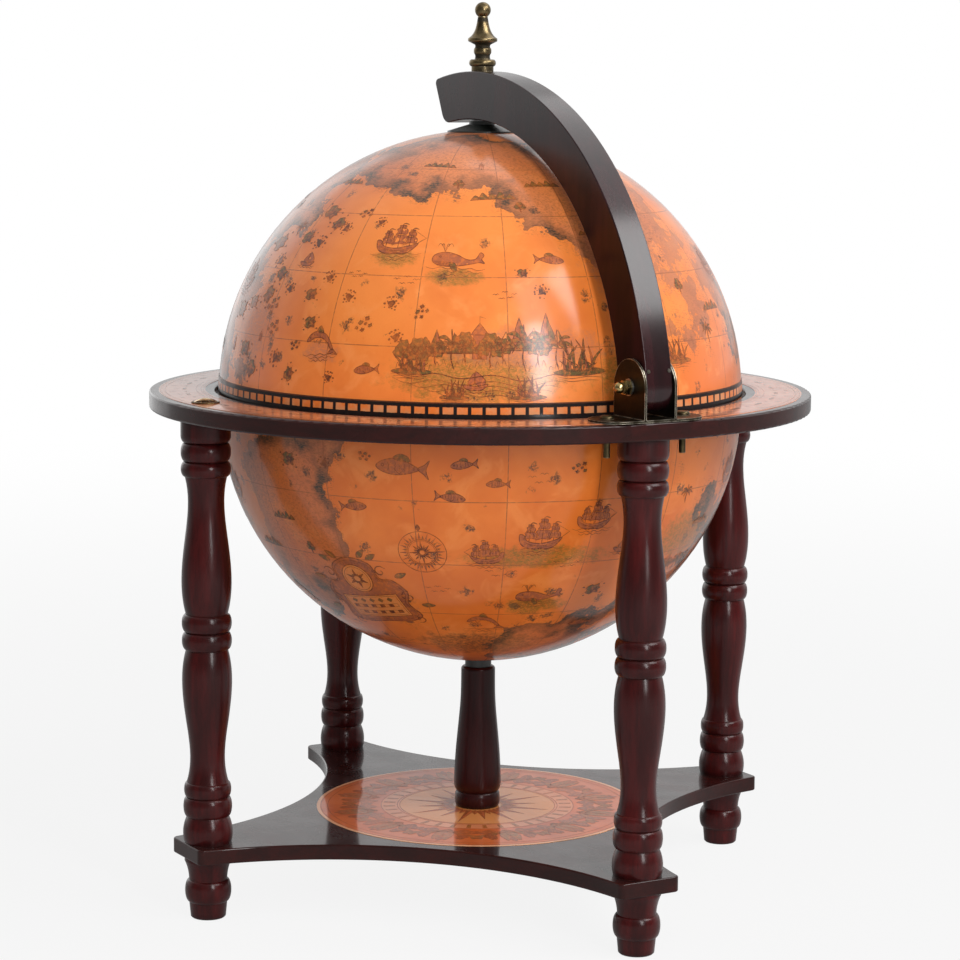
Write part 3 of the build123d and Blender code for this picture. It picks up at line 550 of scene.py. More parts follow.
@shared_effect("Engraving", aim=None)
def engraving(b, aim):
    """Short level strokes, as shading is cut in an old map, and blots."""
    strokes = (aim * (75.0, 75.0, 520.0)).noise(1.0, 3.0, 0.6, 0.5)
    return {"strokes": strokes.ramp(0.4, 0.58), "blots": aim.noise(85.0, 3.0, 0.7).ramp(0.42, 0.6)}


@shared_effect("Rise", aim=None, middle=None, foot=0.9, top=1.0, height=0.1)
def rise(b, aim, middle, foot, top, height):
    """Smooth swell of land, or with a negative height of sea, about one direction."""
    return {"rise": b.vector("DOT_PRODUCT", aim, middle).ramp(foot, top, 0.0, height)}


@shared_effect("Coasts", aim=None, north=0.0, scale=1.5, shift=None, level=0.56, rise=0.0)
def coasts(b, aim, north, scale, shift, level, rise):
    """Land with a dark shaded shore on its own side and fine sea ripples outside it."""
    height = (aim.scaled(scale) + shift).noise(1.0, 9.0, 0.62) + rise - level
    cut = engraving(b, aim=aim)
    land = height.ramp(-0.002, 0.004)
    band = land * height.ramp(0.006, 0.11, 1.0, 0.0)
    deep = aim.noise(6.0, 2.0).ramp(0.36, 0.62, 0.6, 1.3)
    shade = band * (deep * cut.strokes.ramp(0.0, 1.0, 0.62, 1.0))
    line = abs(height).ramp(0.0, 0.006, 0.85, 0.0)
    rows = (north * 165.0).fract()
    waters = height.ramp(-0.05, -0.016) * height.ramp(-0.012, -0.004, 1.0, 0.0)
    return {
        "land": land * height.ramp(0.06, 0.24, 1.0, 0.4),
        "shore": b.math("MAXIMUM", shade, line),
        "hills": cut.strokes * cut.blots * height.ramp(0.02, 0.06),
        "ripple": waters * (rows.ramp(0.5, 0.7) * cut.blots.ramp(0.2, 0.8)),
    }


@shared_effect("Islets", aim=None, scale=9.0, shift=None, share=0.3)
def islets(b, aim, scale, shift, share):
    """Scattered clusters of small dark islands with a speckled edge."""
    wander = b.add("TexNoise", {"Vector": aim, "Scale": 38.0, "Detail": 3.0}).color
    bent = aim + (wander - (0.5, 0.5, 0.5)).scaled(0.055)
    place = bent.scaled(scale) + shift
    cells = b.add("TexVoronoi", {"Vector": place, "Scale": 1.0, "Randomness": 1.0})
    lot = b.add("SeparateColor", {"Color": cells.color}).red
    crowd = (aim + shift).noise(2.3, 2.0).ramp(0.36, 0.64, 0.1, 1.6)
    picked = b.math("LESS_THAN", lot, crowd * share)
    specks = aim.noise(120.0, 3.0, 0.7).ramp(0.44, 0.56)
    speckled = cells.distance.ramp(0.13, 0.3, 1.0, 0.0) * specks
    core = cells.distance.ramp(0.1, 0.17, 1.0, 0.0) * 0.55
    return {"islet": b.math("MAXIMUM", speckled, core) * picked}


@shared_effect("Wash", aim=None, middle=None, shape=(5.0, 5.0, 10.0))
def wash(b, aim, middle, shape):
    """One soft-edged patch of watercolour, wider than it is high."""
    ragged_edge = (aim.noise(26.0, 4.0, 0.65) - 0.5) * 1.3
    patch = (b.vector("LENGTH", (aim - middle) * shape) + ragged_edge).ramp(1.05, 0.5)
    cut = engraving(b, aim=aim)
    return {"wash": patch * (cut.strokes * 0.4 + cut.blots * 0.35 + 0.25), "patch": patch}


@shared_effect(
    "Paper Tone",
    point=None,
    scale=14.0,
    pale=(0.9, 0.4, 0.2, 1.0),
    middle=(0.8, 0.3, 0.1, 1.0),
    deep=(0.6, 0.15, 0.04, 1.0),
)
def paper_tone(b, point, scale, pale, middle, deep):
    """Clouded, slightly fibrous colour of an old varnished paper."""
    fibre = point.noise(900.0, 2.0)
    tone = b.mix(point.noise(scale, 4.0, 0.6).ramp(0.34, 0.66), deep, middle)
    blots = point.noise(scale * 3.1, 3.0, 0.6, 0.6)
    tone = b.mix(blots.ramp(0.52, 0.72) * 0.6, tone, pale)
    tone = b.mix(fibre.ramp(0.3, 0.75, 0.0, 0.10), tone, deep)
    foxing = point.noise(240.0, 2.0, 0.5).ramp(0.7, 0.78, 0.0, 0.35)
    return {"colour": b.mix(foxing, tone, deep), "fibre": fibre}


@shared_effect("Varnish", point=None, scale=30.0, ripple_scale=260.0, smooth=0.1, dull=0.3)
def varnish(b, point, scale, ripple_scale, smooth, dull):
    """Uneven sheen and a faint ripple of a brushed varnish or lacquer."""
    smears = point.noise(scale, 5.0, 0.62, 0.4)
    ripple = point.noise(ripple_scale, 2.0)
    return {"roughness": smears.ramp(0.3, 0.72, smooth, dull), "height": ripple}


@shared_effect(
    "Wood Figure",
    point=None,
    run=(60.0, 60.0, 8.0),
    dark=(0.02, 0.005, 0.005, 1.0),
    red=(0.06, 0.01, 0.01, 1.0),
)
def wood_figure(b, point, run, dark, red):
    """Streaky figure and pores of stained wood, drawn out along one direction."""
    drawn = point * run
    tone = b.mix(drawn.noise(1.0, 5.0, 0.6, 0.35).ramp(0.32, 0.68), dark, red)
    fine = drawn.scaled(4.5).noise(1.0, 3.0, 0.6)
    tone = b.mix(fine.ramp(0.42, 0.7, 0.0, 0.45), tone, dark)
    pores = drawn.scaled(11.0).noise(1.0, 2.0).ramp(0.6, 0.72)
    return {"colour": b.mix(pores * 0.5, tone, dark), "pores": pores}


@shared_effect("Worn Edges", point=None, width=0.001, patch_scale=90.0)
def worn_edges(b, point, width, patch_scale):
    """Mask of the sharp outer edges, broken up as handling wears them."""
    rounded = b.add("Bevel", {"Radius": width}, samples=6).normal
    turn = 1.0 - b.vector("DOT_PRODUCT", rounded, b.add("NewGeometry").normal)
    patches = point.noise(patch_scale, 4.0, 0.65)
    return {"edge": turn.ramp(0.01, 0.16) * patches.ramp(0.36, 0.6, 0.15, 1.0)}


@shared_effect("Recesses", point=None, depth=0.004)
def recesses(b, point, depth):
    """Mask of hollows and inner corners, where dirt and patina gather."""
    open_to = b.add("AmbientOcclusion", {"Distance": depth}, samples=6).ao
    return {"recess": (open_to + point.noise(320.0, 3.0, 0.6) * 0.25).ramp(0.95, 0.6)}


@shared_effect("Settled Dust", point=None, amount=0.1)
def settled_dust(b, point, amount):
    """Thin mask of dust on faces that look up."""
    up = b.add("TexCoord").normal.part("z")
    specks = point.noise(1400.0, 1.0).ramp(0.66, 0.74, 0.25, 1.0)
    cover = up.ramp(0.55, 1.0) * point.noise(45.0, 5.0, 0.7).ramp(0.4, 0.75)
    return {"dust": cover * specks * amount}


# ---- Finishes ----------------------------------------------------------------------------

DUST_GREY = (0.36, 0.33, 0.3)
# Dark colour of the shade painted into the hollows of lacquered wood.
HOLLOW_SHADE = (0.006, 0.003, 0.003)


class Finish(Bench):
    """A material on the bench, with the point that its patterns read."""

    def __init__(self, name):
        self.material = bpy.data.materials.new(name)
        self.material.use_nodes = True
        super().__init__(self.material.node_tree)
        self.point = self.add("TexCoord").object

    def bump(self, height, reach, strength=0.5):
        """Normal from a height map. reach is the full height in metres."""
        return self.add("Bump", {"Height": height, "Distance": reach, "Strength": strength}).normal

    def shade(self, **values):
        """Sets or joins the shader's sockets and gives the material."""
        shader = self.tree.nodes["Principled BSDF"]
        for name, value in values.items():
            self.join(named(shader.inputs, name), value)
        return self.material


def fit_finish(made, *nodes):
    """Gives CAD nodes a finish in place of the plain one they came with."""
    for node in nodes:
        slots = frame["nodes"][node].data.materials
        slots.clear()
        slots.append(made)


def aim_vector(east, north):
    """Unit vector of a bearing and a height angle in degrees."""
    east, north = radians(east), radians(north)
    return Vector((cos(north) * cos(east), cos(north) * sin(east), sin(north)))


def lacquer(
    name, figure, wood, run, coat_rough, edge=0.0012, wear=0.35, dust=0.12, coat_ior=1.34, thin=None
):
    """Stained wood under a satin-gloss lacquer, rubbed at its edges and dusty on top.

    edge is the width of the rubbed edges in metres, wear and dust are strengths from 0 to 1, and
    thin(bench) may say where the lacquer is thin.
    """
    b = Finish(name)
    dark, red = getattr(wood, figure + "_dark"), getattr(wood, figure + "_red")
    grain = wood_figure(b, run=run, dark=dark, red=red)
    edges = worn_edges(b, width=edge, patch_scale=70.0).edge
    # Painted shade: the wood is darkened in its hollows and inner corners.
    tone = b.mix(recesses(b, depth=0.006).recess * 0.6, grain.colour, HOLLOW_SHADE)
    tone = b.mix(edges * wear, tone, wood.worn)
    film = settled_dust(b, amount=dust).dust
    skin = varnish(b, scale=24.0, ripple_scale=190.0, smooth=0.26, dull=0.44)
    cover = thin(b) if thin else 1.0
    return b.shade(
        base_color=b.mix(film, tone, DUST_GREY),
        roughness=skin.roughness + film * 0.5,
        normal=b.bump(skin.height - grain.pores * 0.5, 0.00006, 0.35),
        coat_weight=cover - film * 2.0,
        coat_roughness=coat_rough,
        coat_ior=coat_ior,
        specular_ior_level=0.05,
    )


# The map: its place and scale in the noise that shapes the coasts, and its sea's level.
MAP_SHIFT = (4.1, 7.3, 2.6)
MAP_SCALE = 1.75
ISLET_SCALE, ISLET_SHARE = 10.5, 0.6
SEA_LEVEL = {"dome": 0.54, "bowl": 0.545}
# Colour factors of each half's paper. The bowl's copy is deeper: painted shade for the lower half.
HALF_SHADE_TINT = {"dome": (1.0, 1.0, 1.0), "bowl": (1.0, 0.91, 0.78)}
PAPER_SHEEN = {"dome": 0.06, "bowl": 0.02}
SOFT_FADE = 0.68
LINING_IN, LINING_OUT = 1.5 * MM, 1.0 * MM
PAPER_SKIN = {"scale": 20.0, "ripple_scale": 120.0, "smooth": 0.38, "dull": 0.52}
MAP_LINE_SETTINGS = ("meridian_gap", "first_meridian", "parallel_gap", "line_width")

# Watercolour patches: bearing, height angle, width and height in degrees, and their colour. A soft
# one has no colour: it fades the shading of the shores. One coast-coloured patch is painted shade.
GLOBE_WASHES = {
    "dome": (
        (-30, 9, 40, 13, "meadow"), (-52, 34, 12, 4, "meadow"), (-36, 30, 14, 4, "meadow"),
        (-90, 16, 16, 20, "land"), (-66, 13, 11, 5, "land"), (4, 9, 22, 14, "meadow"),
        (24, 34, 62, 60, "soft"), (-158, 30, 96, 80, "soft"), (112, 34, 80, 70, "soft"),
        (12, 38, 30, 30, "land"), (-20, 15, 40, 9, "land"), (100, 20, 26, 13, "meadow"),
        (178, 38, 22, 10, "coast"), (-140, 14, 24, 12, "meadow"), (56, 52, 22, 14, "land"),
    ),
    "bowl": (
        (-16, -28, 34, 6, "meadow"), (-14, -42, 15, 5, "meadow"), (-62, -41, 22, 18, "land"),
        (-98, -20, 32, 56, "soft"), (164, -30, 110, 70, "soft"), (-86, -12, 14, 18, "land"),
        (30, -26, 26, 13, "meadow"), (96, -34, 24, 13, "land"), (160, -22, 26, 11, "meadow"),
        # The coast-coloured patch at -30, -58 is painted shade on the front of the bowl's bottom.
        (-128, -36, 24, 12, "coast"), (-30, -58, 30, 8, "coast"),
    ),
}

# Where land and sea are raised or sunk: bearing, height angle, radius in degrees, amount.
GLOBE_RISES = {
    "dome": (
        (-20, 58, 24, 0.11), (0, 44, 15, 0.09), (-52, 66, 12, 0.05), (-82, 50, 11, 0.07),
        (-44, 26, 26, -0.13), (-20, 24, 20, -0.1), (-64, 36, 12, -0.09), (-92, 20, 14, 0.05),
        (-60, 10, 16, -0.08), (16, 38, 14, 0.07), (120, 30, 26, 0.06), (175, 40, 24, -0.06),
    ),
    "bowl": (
        (-76, -18, 12, 0.11), (-82, -40, 12, 0.09), (-30, -62, 22, 0.08), (-22, -24, 24, -0.14),
        (-48, -16, 15, -0.11), (10, -34, 18, -0.09), (42, -22, 14, 0.07), (130, -30, 26, 0.06),
        (-150, -30, 24, -0.06),
    ),
}


def globe_finish(look, half, middle_z):
    """Printed map paper of one half of the globe, outside and in."""
    b = Finish(half + "_map_paper")
    place = globe_place(b, middle_height=middle_z)
    aim = place.aim
    # The bowl's sea colours are multiplied down here: painted shade.
    pale, middle, deep = (
        tuple(c * tint_factor for c, tint_factor in zip(sea, HALF_SHADE_TINT[half]))
        for sea in (look.sea_pale, look.sea, look.sea_deep)
    )
    tone = paper_tone(b, scale=13.0, pale=pale, middle=middle, deep=deep)
    lift = 0.0
    for east, north, reach, amount in GLOBE_RISES[half]:
        foot, top = cos(radians(1.5 * reach)), cos(radians(0.35 * reach))
        middle = aim_vector(east, north)
        lift = lift + rise(b, aim=aim, middle=middle, foot=foot, top=top, height=amount).rise
    land = coasts(
        b,
        aim=aim,
        north=place.north,
        scale=MAP_SCALE,
        shift=MAP_SHIFT,
        level=SEA_LEVEL[half],
        rise=lift,
    )
    paint = b.mix(land.land * 0.5, tone.colour, look.land)
    shore = land.shore * 0.92
    for east, north, wide, high, kind in GLOBE_WASHES[half]:
        shape = (2 / radians(wide), 2 / radians(wide), 2 / radians(high))
        mask = wash(b, aim=aim, middle=aim_vector(east, north), shape=shape)
        if kind == "soft":
            shore = shore * (1.0 - mask.patch * SOFT_FADE)
        else:
            paint = b.mix(mask.wash * 0.85, paint, getattr(look, kind))
    isles = islets(b, aim=aim, scale=ISLET_SCALE, shift=MAP_SHIFT, share=ISLET_SHARE).islet
    lines = map_lines(
        b,
        aim=aim,
        east=place.east,
        north=place.north,
        **{name: getattr(look, name) for name in MAP_LINE_SETTINGS},
    ).line
    for mask, tint in (
        (isles * 0.9, look.coast),
        (land.hills * 0.5, look.line),
        (shore, look.coast),
        (land.ripple * 0.4, look.coast),
        (lines * 0.75, look.line),
    ):
        paint = b.mix(mask, paint, tint)
    inside = place.reach.ramp(GLOBE_R - LINING_IN, GLOBE_R - LINING_OUT, 1.0, 0.0)
    lining = b.mix(lines * 0.4, tone.colour, look.line)
    skin = varnish(b, **PAPER_SKIN)
    return b.shade(
        base_color=b.mix(inside, paint, b.mix(0.35, lining, look.sea_pale)),
        roughness=skin.roughness + inside * 0.25,
        normal=b.bump(skin.height + tone.fibre * 0.15, 0.00005, 0.25),
        coat_weight=1.0 - inside * 0.8,
        coat_roughness=0.16,
        coat_ior=1.5,
        specular_ior_level=0.08,
        sheen_weight=PAPER_SHEEN[half],
        sheen_roughness=0.45,
    )


def ink_finish(name, tone, under, coat_rough, coat_ior, faint):
    """Printed ink, thinner here and there so that the paper's colour comes through."""
    b = Finish(name)
    thin = b.point.noise(420.0, 3.0, 0.7).ramp(0.42, 0.7, 0.0, 0.62)
    tint_factor = b.point.noise(30.0, 3.0).ramp(0.35, 0.7, faint, faint + 0.3)
    return b.shade(
        base_color=b.mix(tint_factor, b.mix(thin, tone, under), under),
        roughness=varnish(b, **PAPER_SKIN).roughness,
        coat_weight=1.0,
        coat_roughness=coat_rough,
        coat_ior=coat_ior,
        specular_ior_level=0.08,
    )


# ---- Drawn marks -------------------------------------------------------------------------


def flow(points, closed=False, steps=5):
    """Smooth line through a few points."""
    count = len(points)
    out = []
    for i in range(count if closed else count - 1):
        near = (
            points[k % count if closed else min(max(k, 0), count - 1)] for k in range(i - 1, i + 3)
        )
        bends = [
            (2 * h, n - p, 2 * p - 5 * h + 4 * n - a, 3 * h - p - 3 * n + a)
            for p, h, n, a in zip(*near)
        ]
        for t in (step / steps for step in range(steps)):
            out.append(tuple(0.5 * (a + b * t + c * t**2 + d * t**3) for a, b, c, d in bends))
    out.append(points[0] if closed else points[-1])
    return out


def arc(x, y, wide, high, start=0, end=360, steps=14):
    """Points along an ellipse, angles in degrees."""
    turns = [radians(start + (end - start) * i / steps) for i in range(steps + 1)]
    return [(x + wide * cos(t), y + high * sin(t)) for t in turns]


def turned(points, turn):
    """Points turned about the origin, by degrees."""
    c, s = cos(radians(turn)), sin(radians(turn))
    return [(x * c - y * s, x * s + y * c) for x, y in points]


def moved(points, x, y, scale=1.0):
    """Points scaled, then shifted."""
    return [(px * scale + x, py * scale + y) for px, py in points]


def ragged(count, wide, high, swing, beat, x=0.0, y=0.0, start=0):
    """Uneven ring of points. swing and beat are how far and how often it wanders, each way."""
    ring = []
    for k in range(count):
        out = wide * (1 + swing[0] * sin(beat[0] * k + start))
        up = high * (1 + swing[1] * cos(beat[1] * k + start))
        ring.append((x + out * cos(k * tau / count), y + up * sin(k * tau / count)))
    return ring


class Drawing:
    """Line work in units of its own size: tapered strokes and tinted fills."""

    def __init__(self):
        self.strokes = []
        self.tints = []

    def line(self, points, weight=1.0, taper=True):
        """A stroke, thin at its ends if it tapers."""
        self.strokes.append((points, weight, taper))

    def curve(self, points, weight=1.0, steps=5):
        """A smooth tapered stroke through a few points."""
        self.line(flow(points, steps=steps), weight)

    def ring(self, x, y, wide, high, weight, steps=14):
        """An ellipse in one even line."""
        self.line(arc(x, y, wide, high, steps=steps), weight, taper=False)

    def tint(self, points, tone):
        """A fill with no outline."""
        self.tints.append((points, tone))

    def dot(self, x, y, wide, high, steps):
        """A small solid ellipse."""
        self.tint(arc(x, y, wide, high, steps=steps)[:-1], "ink")

    def shape(self, points, tone, weight=1.0):
        """A closed outline with a tint inside."""
        self.tint(points[:-1], tone)
        self.line(points, weight, taper=False)

    def facet(self, points, tone, weight=1.0):
        """A shape with straight sides, given by its corners."""
        self.shape(points + points[:1], tone, weight)

    def blob(self, points, tone, weight=1.0, steps=4):
        """A shape with a smooth outline through a few points."""
        self.shape(flow(points, True, steps), tone, weight)

    def star(self, count, point, tips, weight, tone=None):
        """Points of a compass star, dark on one side. point: half width, its height, root's height."""
        wide, shoulder, root = point
        for i in range(count):
            tip = (0, tips[i % len(tips)])
            turn = 360 / count * i
            dark = turned([(wide, shoulder), tip, (0, root)], turn)
            light = turned([(-wide, shoulder), tip, (0, root)], turn)
            self.tint(dark, "ink")
            if tone:
                self.tint(light, tone)
            self.line(light + light[:1], weight, taper=False)

    def add(self, other, x=0.0, y=0.0, scale=1.0):
        """Places another drawing in this one."""
        self.strokes += [(moved(p, x, y, scale), w, t) for p, w, t in other.strokes]
        self.tints += [(moved(p, x, y, scale), tone) for p, tone in other.tints]


MOTIFS = {}


def motif(build):
    """Keeps a motif under its function's name. The function draws on an empty drawing."""

    def draw(*how):
        drawing = Drawing()
        build(drawing, *how)
        return drawing

    MOTIFS[build.__name__] = draw
    return draw


@motif
def ripples(d, rows, half, step=0.16):
    """Rows of short waves under a ship or a fish."""
    for row in range(rows):
        reach = half * (1 - 0.22 * row)
        shift = 0.17 * (row % 2) - 0.05 * row
        crest = [(shift - reach + i * reach / 4, 0.045 * (-1) ** i) for i in range(9)]
        d.line(moved(flow(crest, steps=4), 0, -step * row), 0.9)


@motif
def ship(d):
    """Three-masted ship under square sails."""
    deck = [(1, 0.16), (0.66, 0.02), (0, -0.12), (-0.6, 0.0), (-0.78, 0.3)]
    keel = [(-1, 0.34), (-0.93, -0.1), (-0.62, -0.34), (0, -0.42), (0.55, -0.36), (0.86, -0.1)]
    d.blob(keel + deck, "russet", 1.2, 5)
    d.curve([(-0.86, 0.02), (-0.4, -0.2), (0.2, -0.25), (0.84, -0.04)])
    d.curve([(-0.74, -0.14), (0, -0.34), (0.66, -0.22)], 0.7)
    masts = ((-0.54, 0, 0.92, 0.27), (0.06, -0.1, 1.32, 0.36), (0.6, 0, 0.94, 0.26))
    for x, foot, tall, half in masts:
        d.line([(x, foot), (x + 0.02, foot + tall)], 1.1, taper=False)
        for low, high, wide in ((0.14, 0.5, 1.0), (0.55, 0.8, 0.72), (0.83, 0.95, 0.45)):
            lower, upper, w = foot + tall * low, foot + tall * high, half * wide
            middle = (lower + upper) / 2
            head = [(x - 0.8 * w, upper), (x + 0.85 * w, upper), (x + 1.25 * w, middle)]
            tail = [(x + w, lower), (x, lower + 0.05), (x - 0.9 * w, lower), (x - 0.6 * w, middle)]
            d.blob(head + tail, "russet", 0.85, 3)
            fold = [(x + 0.5 * w, upper - 0.02), (x + 0.8 * w, middle), (x + 0.55 * w, lower + 0.05)]
            d.curve(fold, 0.6)
        top = foot + tall
        d.curve([(x, top), (x + 0.12, top + 0.05), (x + 0.3, top - 0.02)], 1.5)
        for side in (-1, 1):
            d.line([(x, foot + tall * 0.86), (x + side * 0.3, foot + 0.02)], 0.5)
    d.line([(0.92, 0.12), (1.36, 0.46)], 1.1)
    d.line([(0.62, 0.92), (1.34, 0.44)], 0.5)
    d.add(ripples(3, 1.25), 0, -0.42)


@motif
def skiff(d):
    """Small single-sailed boat."""
    hull = [(-0.8, 0.08), (-0.5, -0.26), (0.45, -0.28), (0.9, 0.14), (0.1, -0.04)]
    d.blob(hull, "russet", 1.2, 5)
    d.line([(0, -0.1), (0, 1.1)], 1.1)
    d.blob([(0.04, 1.0), (0.72, 0.4), (0.6, 0.08), (0.06, 0.12)], "russet", 0.9)
    d.blob([(-0.05, 0.92), (-0.5, 0.16), (-0.07, 0.12)], "russet", 0.9)
    d.add(ripples(2, 1.1), 0, -0.32)


@motif
def fish(d):
    """Plump fish with scales, drawn from the side."""
    back = [(-1, -0.02), (-0.72, 0.22), (-0.2, 0.34), (0.3, 0.2), (0.62, 0.05)]
    belly = [(0.62, -0.04), (0.2, -0.2), (-0.3, -0.28), (-0.76, -0.2)]
    d.blob(back + belly, "russet", 1.1, 5)
    tail = [(0.6, 0.02), (0.86, 0.2), (1.04, 0.38), (0.92, 0.0), (1.02, -0.34), (0.84, -0.16)]
    d.blob(tail, "russet")
    d.blob([(-0.34, 0.32), (-0.1, 0.52), (0.22, 0.44), (0.26, 0.24)], "olive", 0.8)
    d.curve([(-0.3, -0.04), (-0.1, -0.22), (0.04, -0.1)])
    d.ring(-0.74, 0.04, 0.05, 0.05, 1.1)
    d.line(arc(-0.62, 0.0, 0.12, 0.2, -70, 70))
    for column in range(5):
        for row in (-1, 0, 1):
            x, y = -0.3 + 0.18 * column, 0.02 + row * (0.12 - 0.015 * column)
            d.line(arc(x, y, 0.06, 0.07, -80, 80, 5), 0.55)


@motif
def leaper(d):
    """Curved sea creature leaping over the waves."""
    body = [(-0.95, 0.1), (-0.7, 0.46), (-0.2, 0.62), (0.35, 0.4), (0.68, -0.05), (0.82, -0.42)]
    under = [(0.66, -0.36), (0.42, 0.0), (0.05, 0.24), (-0.4, 0.26), (-0.72, 0.12)]
    d.blob(body + under, "russet", 1.1, 5)
    d.blob([(0.72, -0.4), (0.5, -0.66), (0.82, -0.6), (1.12, -0.72), (0.86, -0.42)], "russet")
    d.blob([(-0.28, 0.62), (-0.06, 0.92), (0.16, 0.52)], "olive", 0.8)
    d.curve([(-0.5, 0.28), (-0.42, 0.02), (-0.2, 0.2)])
    d.ring(-0.72, 0.28, 0.045, 0.045, 1.1)
    for i in range(6):
        d.curve([(-0.5 + 0.2 * i, 0.5 - 0.02 * i * i), (-0.42 + 0.2 * i, 0.36 - 0.03 * i * i)], 0.55)
    d.add(ripples(3, 1.2), 0, -0.66)


@motif
def whale(d):
    """Spouting whale with a scored belly."""
    back = [(-1, 0.12), (-0.92, 0.42), (-0.5, 0.56), (0, 0.46), (0.45, 0.24), (0.82, 0.3)]
    tail = [(0.98, 0.62), (1.14, 0.5), (1.06, 0.3), (1.2, 0.12), (0.95, 0.14)]
    d.blob(back + tail + [(0.5, 0.0), (-0.1, -0.12), (-0.7, -0.08)], "russet", 1.1)
    for i in range(5):
        front, back = (-0.96 + 0.04 * i, 0.1 - 0.045 * i), (-0.05 - 0.03 * i, 0.02 - 0.03 * i)
        d.curve([front, (-0.5, 0.1 - 0.05 * i), back], 0.6, 3)
    d.ring(-0.68, 0.34, 0.04, 0.035, 1.0)
    d.blob([(-0.3, 0.05), (-0.12, -0.3), (0.06, -0.34), (-0.02, 0.02)], "olive", 0.8)
    for lean in (-0.26, -0.12, 0.12, 0.26):
        drop = (-0.5 + lean * 1.25, 0.84)
        d.curve([(-0.5, 0.56), (-0.5 + lean * 0.5, 0.9), (-0.5 + lean, 0.98), drop], 0.8, 3)
    d.add(ripples(3, 1.25), 0, -0.2)


@motif
def rose(d, rays=32):
    """Sixteen-point star in a ring of rays."""
    for radius, weight in ((0.98, 0.8), (0.62, 0.9), (0.56, 0.6), (0.2, 0.9)):
        d.ring(0, 0, radius, radius, weight, 48)
    for i in range(rays):
        ray = turned([(-0.035, 0.66), (0.035, 0.66), (0, (0.94, 0.8)[i % 2])], 360 / rays * i)
        d.facet(ray, "olive" if i % 2 else "russet", 0.6)
    d.star(16, (0.06, 0.17, 0.1), (0.54, 0.36, 0.45, 0.36), 0.6)
    d.blob([(0, 1.02), (0.09, 1.14), (0, 1.3), (-0.09, 1.14)], "ink", 0.8)


@motif
def hills(d):
    """Row of small shaded hills."""
    for x, tall in ((-0.8, 0.3), (-0.45, 0.46), (-0.05, 0.38), (0.35, 0.52), (0.76, 0.32)):
        slope = [(x - 0.26, 0), (x - 0.1, tall * 0.7), (x, tall), (x + 0.12, tall * 0.6)]
        slope.append((x + 0.28, 0))
        d.shape(flow(slope) + slope[:1], "olive", 0.9)
        for i in range(3):
            top = (x + 0.03 + 0.06 * i, tall * (0.8 - 0.22 * i))
            d.line([top, (x + 0.08 + 0.07 * i, 0.02)], 0.55)


@motif
def tree(d):
    """Round-headed tree with a shaded side."""
    d.curve([(0.02, 0), (-0.03, 0.3), (0.03, 0.62)], 2.2)
    for x, y, r in ((-0.24, 0.7, 0.26), (0.22, 0.68, 0.28), (0, 0.98, 0.3)):
        lobes = [r * (1 + 0.14 * (-1) ** i) for i in range(12)]
        turns = [i * tau / 12 for i in range(12)]
        d.blob([(x + out * cos(t), y + out * sin(t)) for out, t in zip(lobes, turns)], "olive", 0.9, 3)
        for i in range(3):
            reach = r * (0.75 - 0.2 * i)
            d.line(arc(x + 0.02, y, reach, reach, -60, 40, 6), 0.6)


@motif
def palm(d):
    """Palm with drooping fronds."""
    d.curve([(0.1, 0), (0.0, 0.4), (0.06, 0.85)], 2.0)
    right = ((0.02, 1.34), (0.5, 1.1), (0.7, 0.7))
    for x, y in ((-0.62, 0.66), (-0.44, 1.06), *right, (-0.3, 0.52), (0.42, 0.5)):
        mid_x, mid_y = x * 0.5 + 0.03, (y + 1.1) / 2 + 0.06
        d.blob([(0.06, 0.86), (mid_x, mid_y), (x, y), (mid_x - 0.02, mid_y - 0.12)], "olive", 0.8)


@motif
def tower(d):
    """Small round watch tower."""
    d.facet([(-0.24, 0), (-0.2, 0.8), (0.2, 0.8), (0.24, 0)], "russet")
    d.facet([(-0.3, 0.8), (0.3, 0.8), (0, 1.2)], "russet")
    d.tint([(-0.07, 0), (-0.07, 0.24), (0.07, 0.24), (0.07, 0)], "ink")
    for y in (0.3, 0.45, 0.6):
        d.line([(-0.18, y), (0.2, y)], 0.5)
    d.line([(0, 1.2), (0.0, 1.42), (0.2, 1.36)], 0.9)


@motif
def shore(d):
    """Wide scene of a wooded shore with hills, a tower and a boat drawn up."""
    for kind, *places in (
        (hills, (-0.42, 0.16, 0.42), (0.36, 0.2, 0.34)),
        (tree, (-0.86, 0.02, 0.24), (-0.7, -0.04, 0.3), (-0.5, 0.04, 0.2), (-0.16, 0.06, 0.27)),
        (tree, (0.12, 0.0, 0.31), (0.26, 0.08, 0.2), (0.66, 0.04, 0.28)),
        (palm, (-0.32, -0.02, 0.34), (0.48, -0.04, 0.4), (0.86, 0.0, 0.34)),
        (tower, (0.0, 0.1, 0.34)),
        (skiff, (-0.05, -0.2, 0.16)),
    ):
        for place in places:
            d.add(kind(), *place)
    left = [(-1, -0.02), (-0.8, -0.1), (-0.5, -0.06), (-0.2, -0.12)]
    beach = flow(left + [(0.15, -0.08), (0.5, -0.14), (0.82, -0.06), (1, -0.08)])
    d.line(beach, 1.4)
    for row in range(4):
        d.line(moved(beach, 0.04 * row, -0.07 - 0.06 * row, 1 - 0.13 * row), 0.8)
    for i in range(26):
        x, y = -0.95 + 0.075 * i, 0.04 * sin(i * 2.1)
        d.curve([(x, y), (x + 0.02, 0.07 + y), (x + 0.05, 0.02)], 0.7)


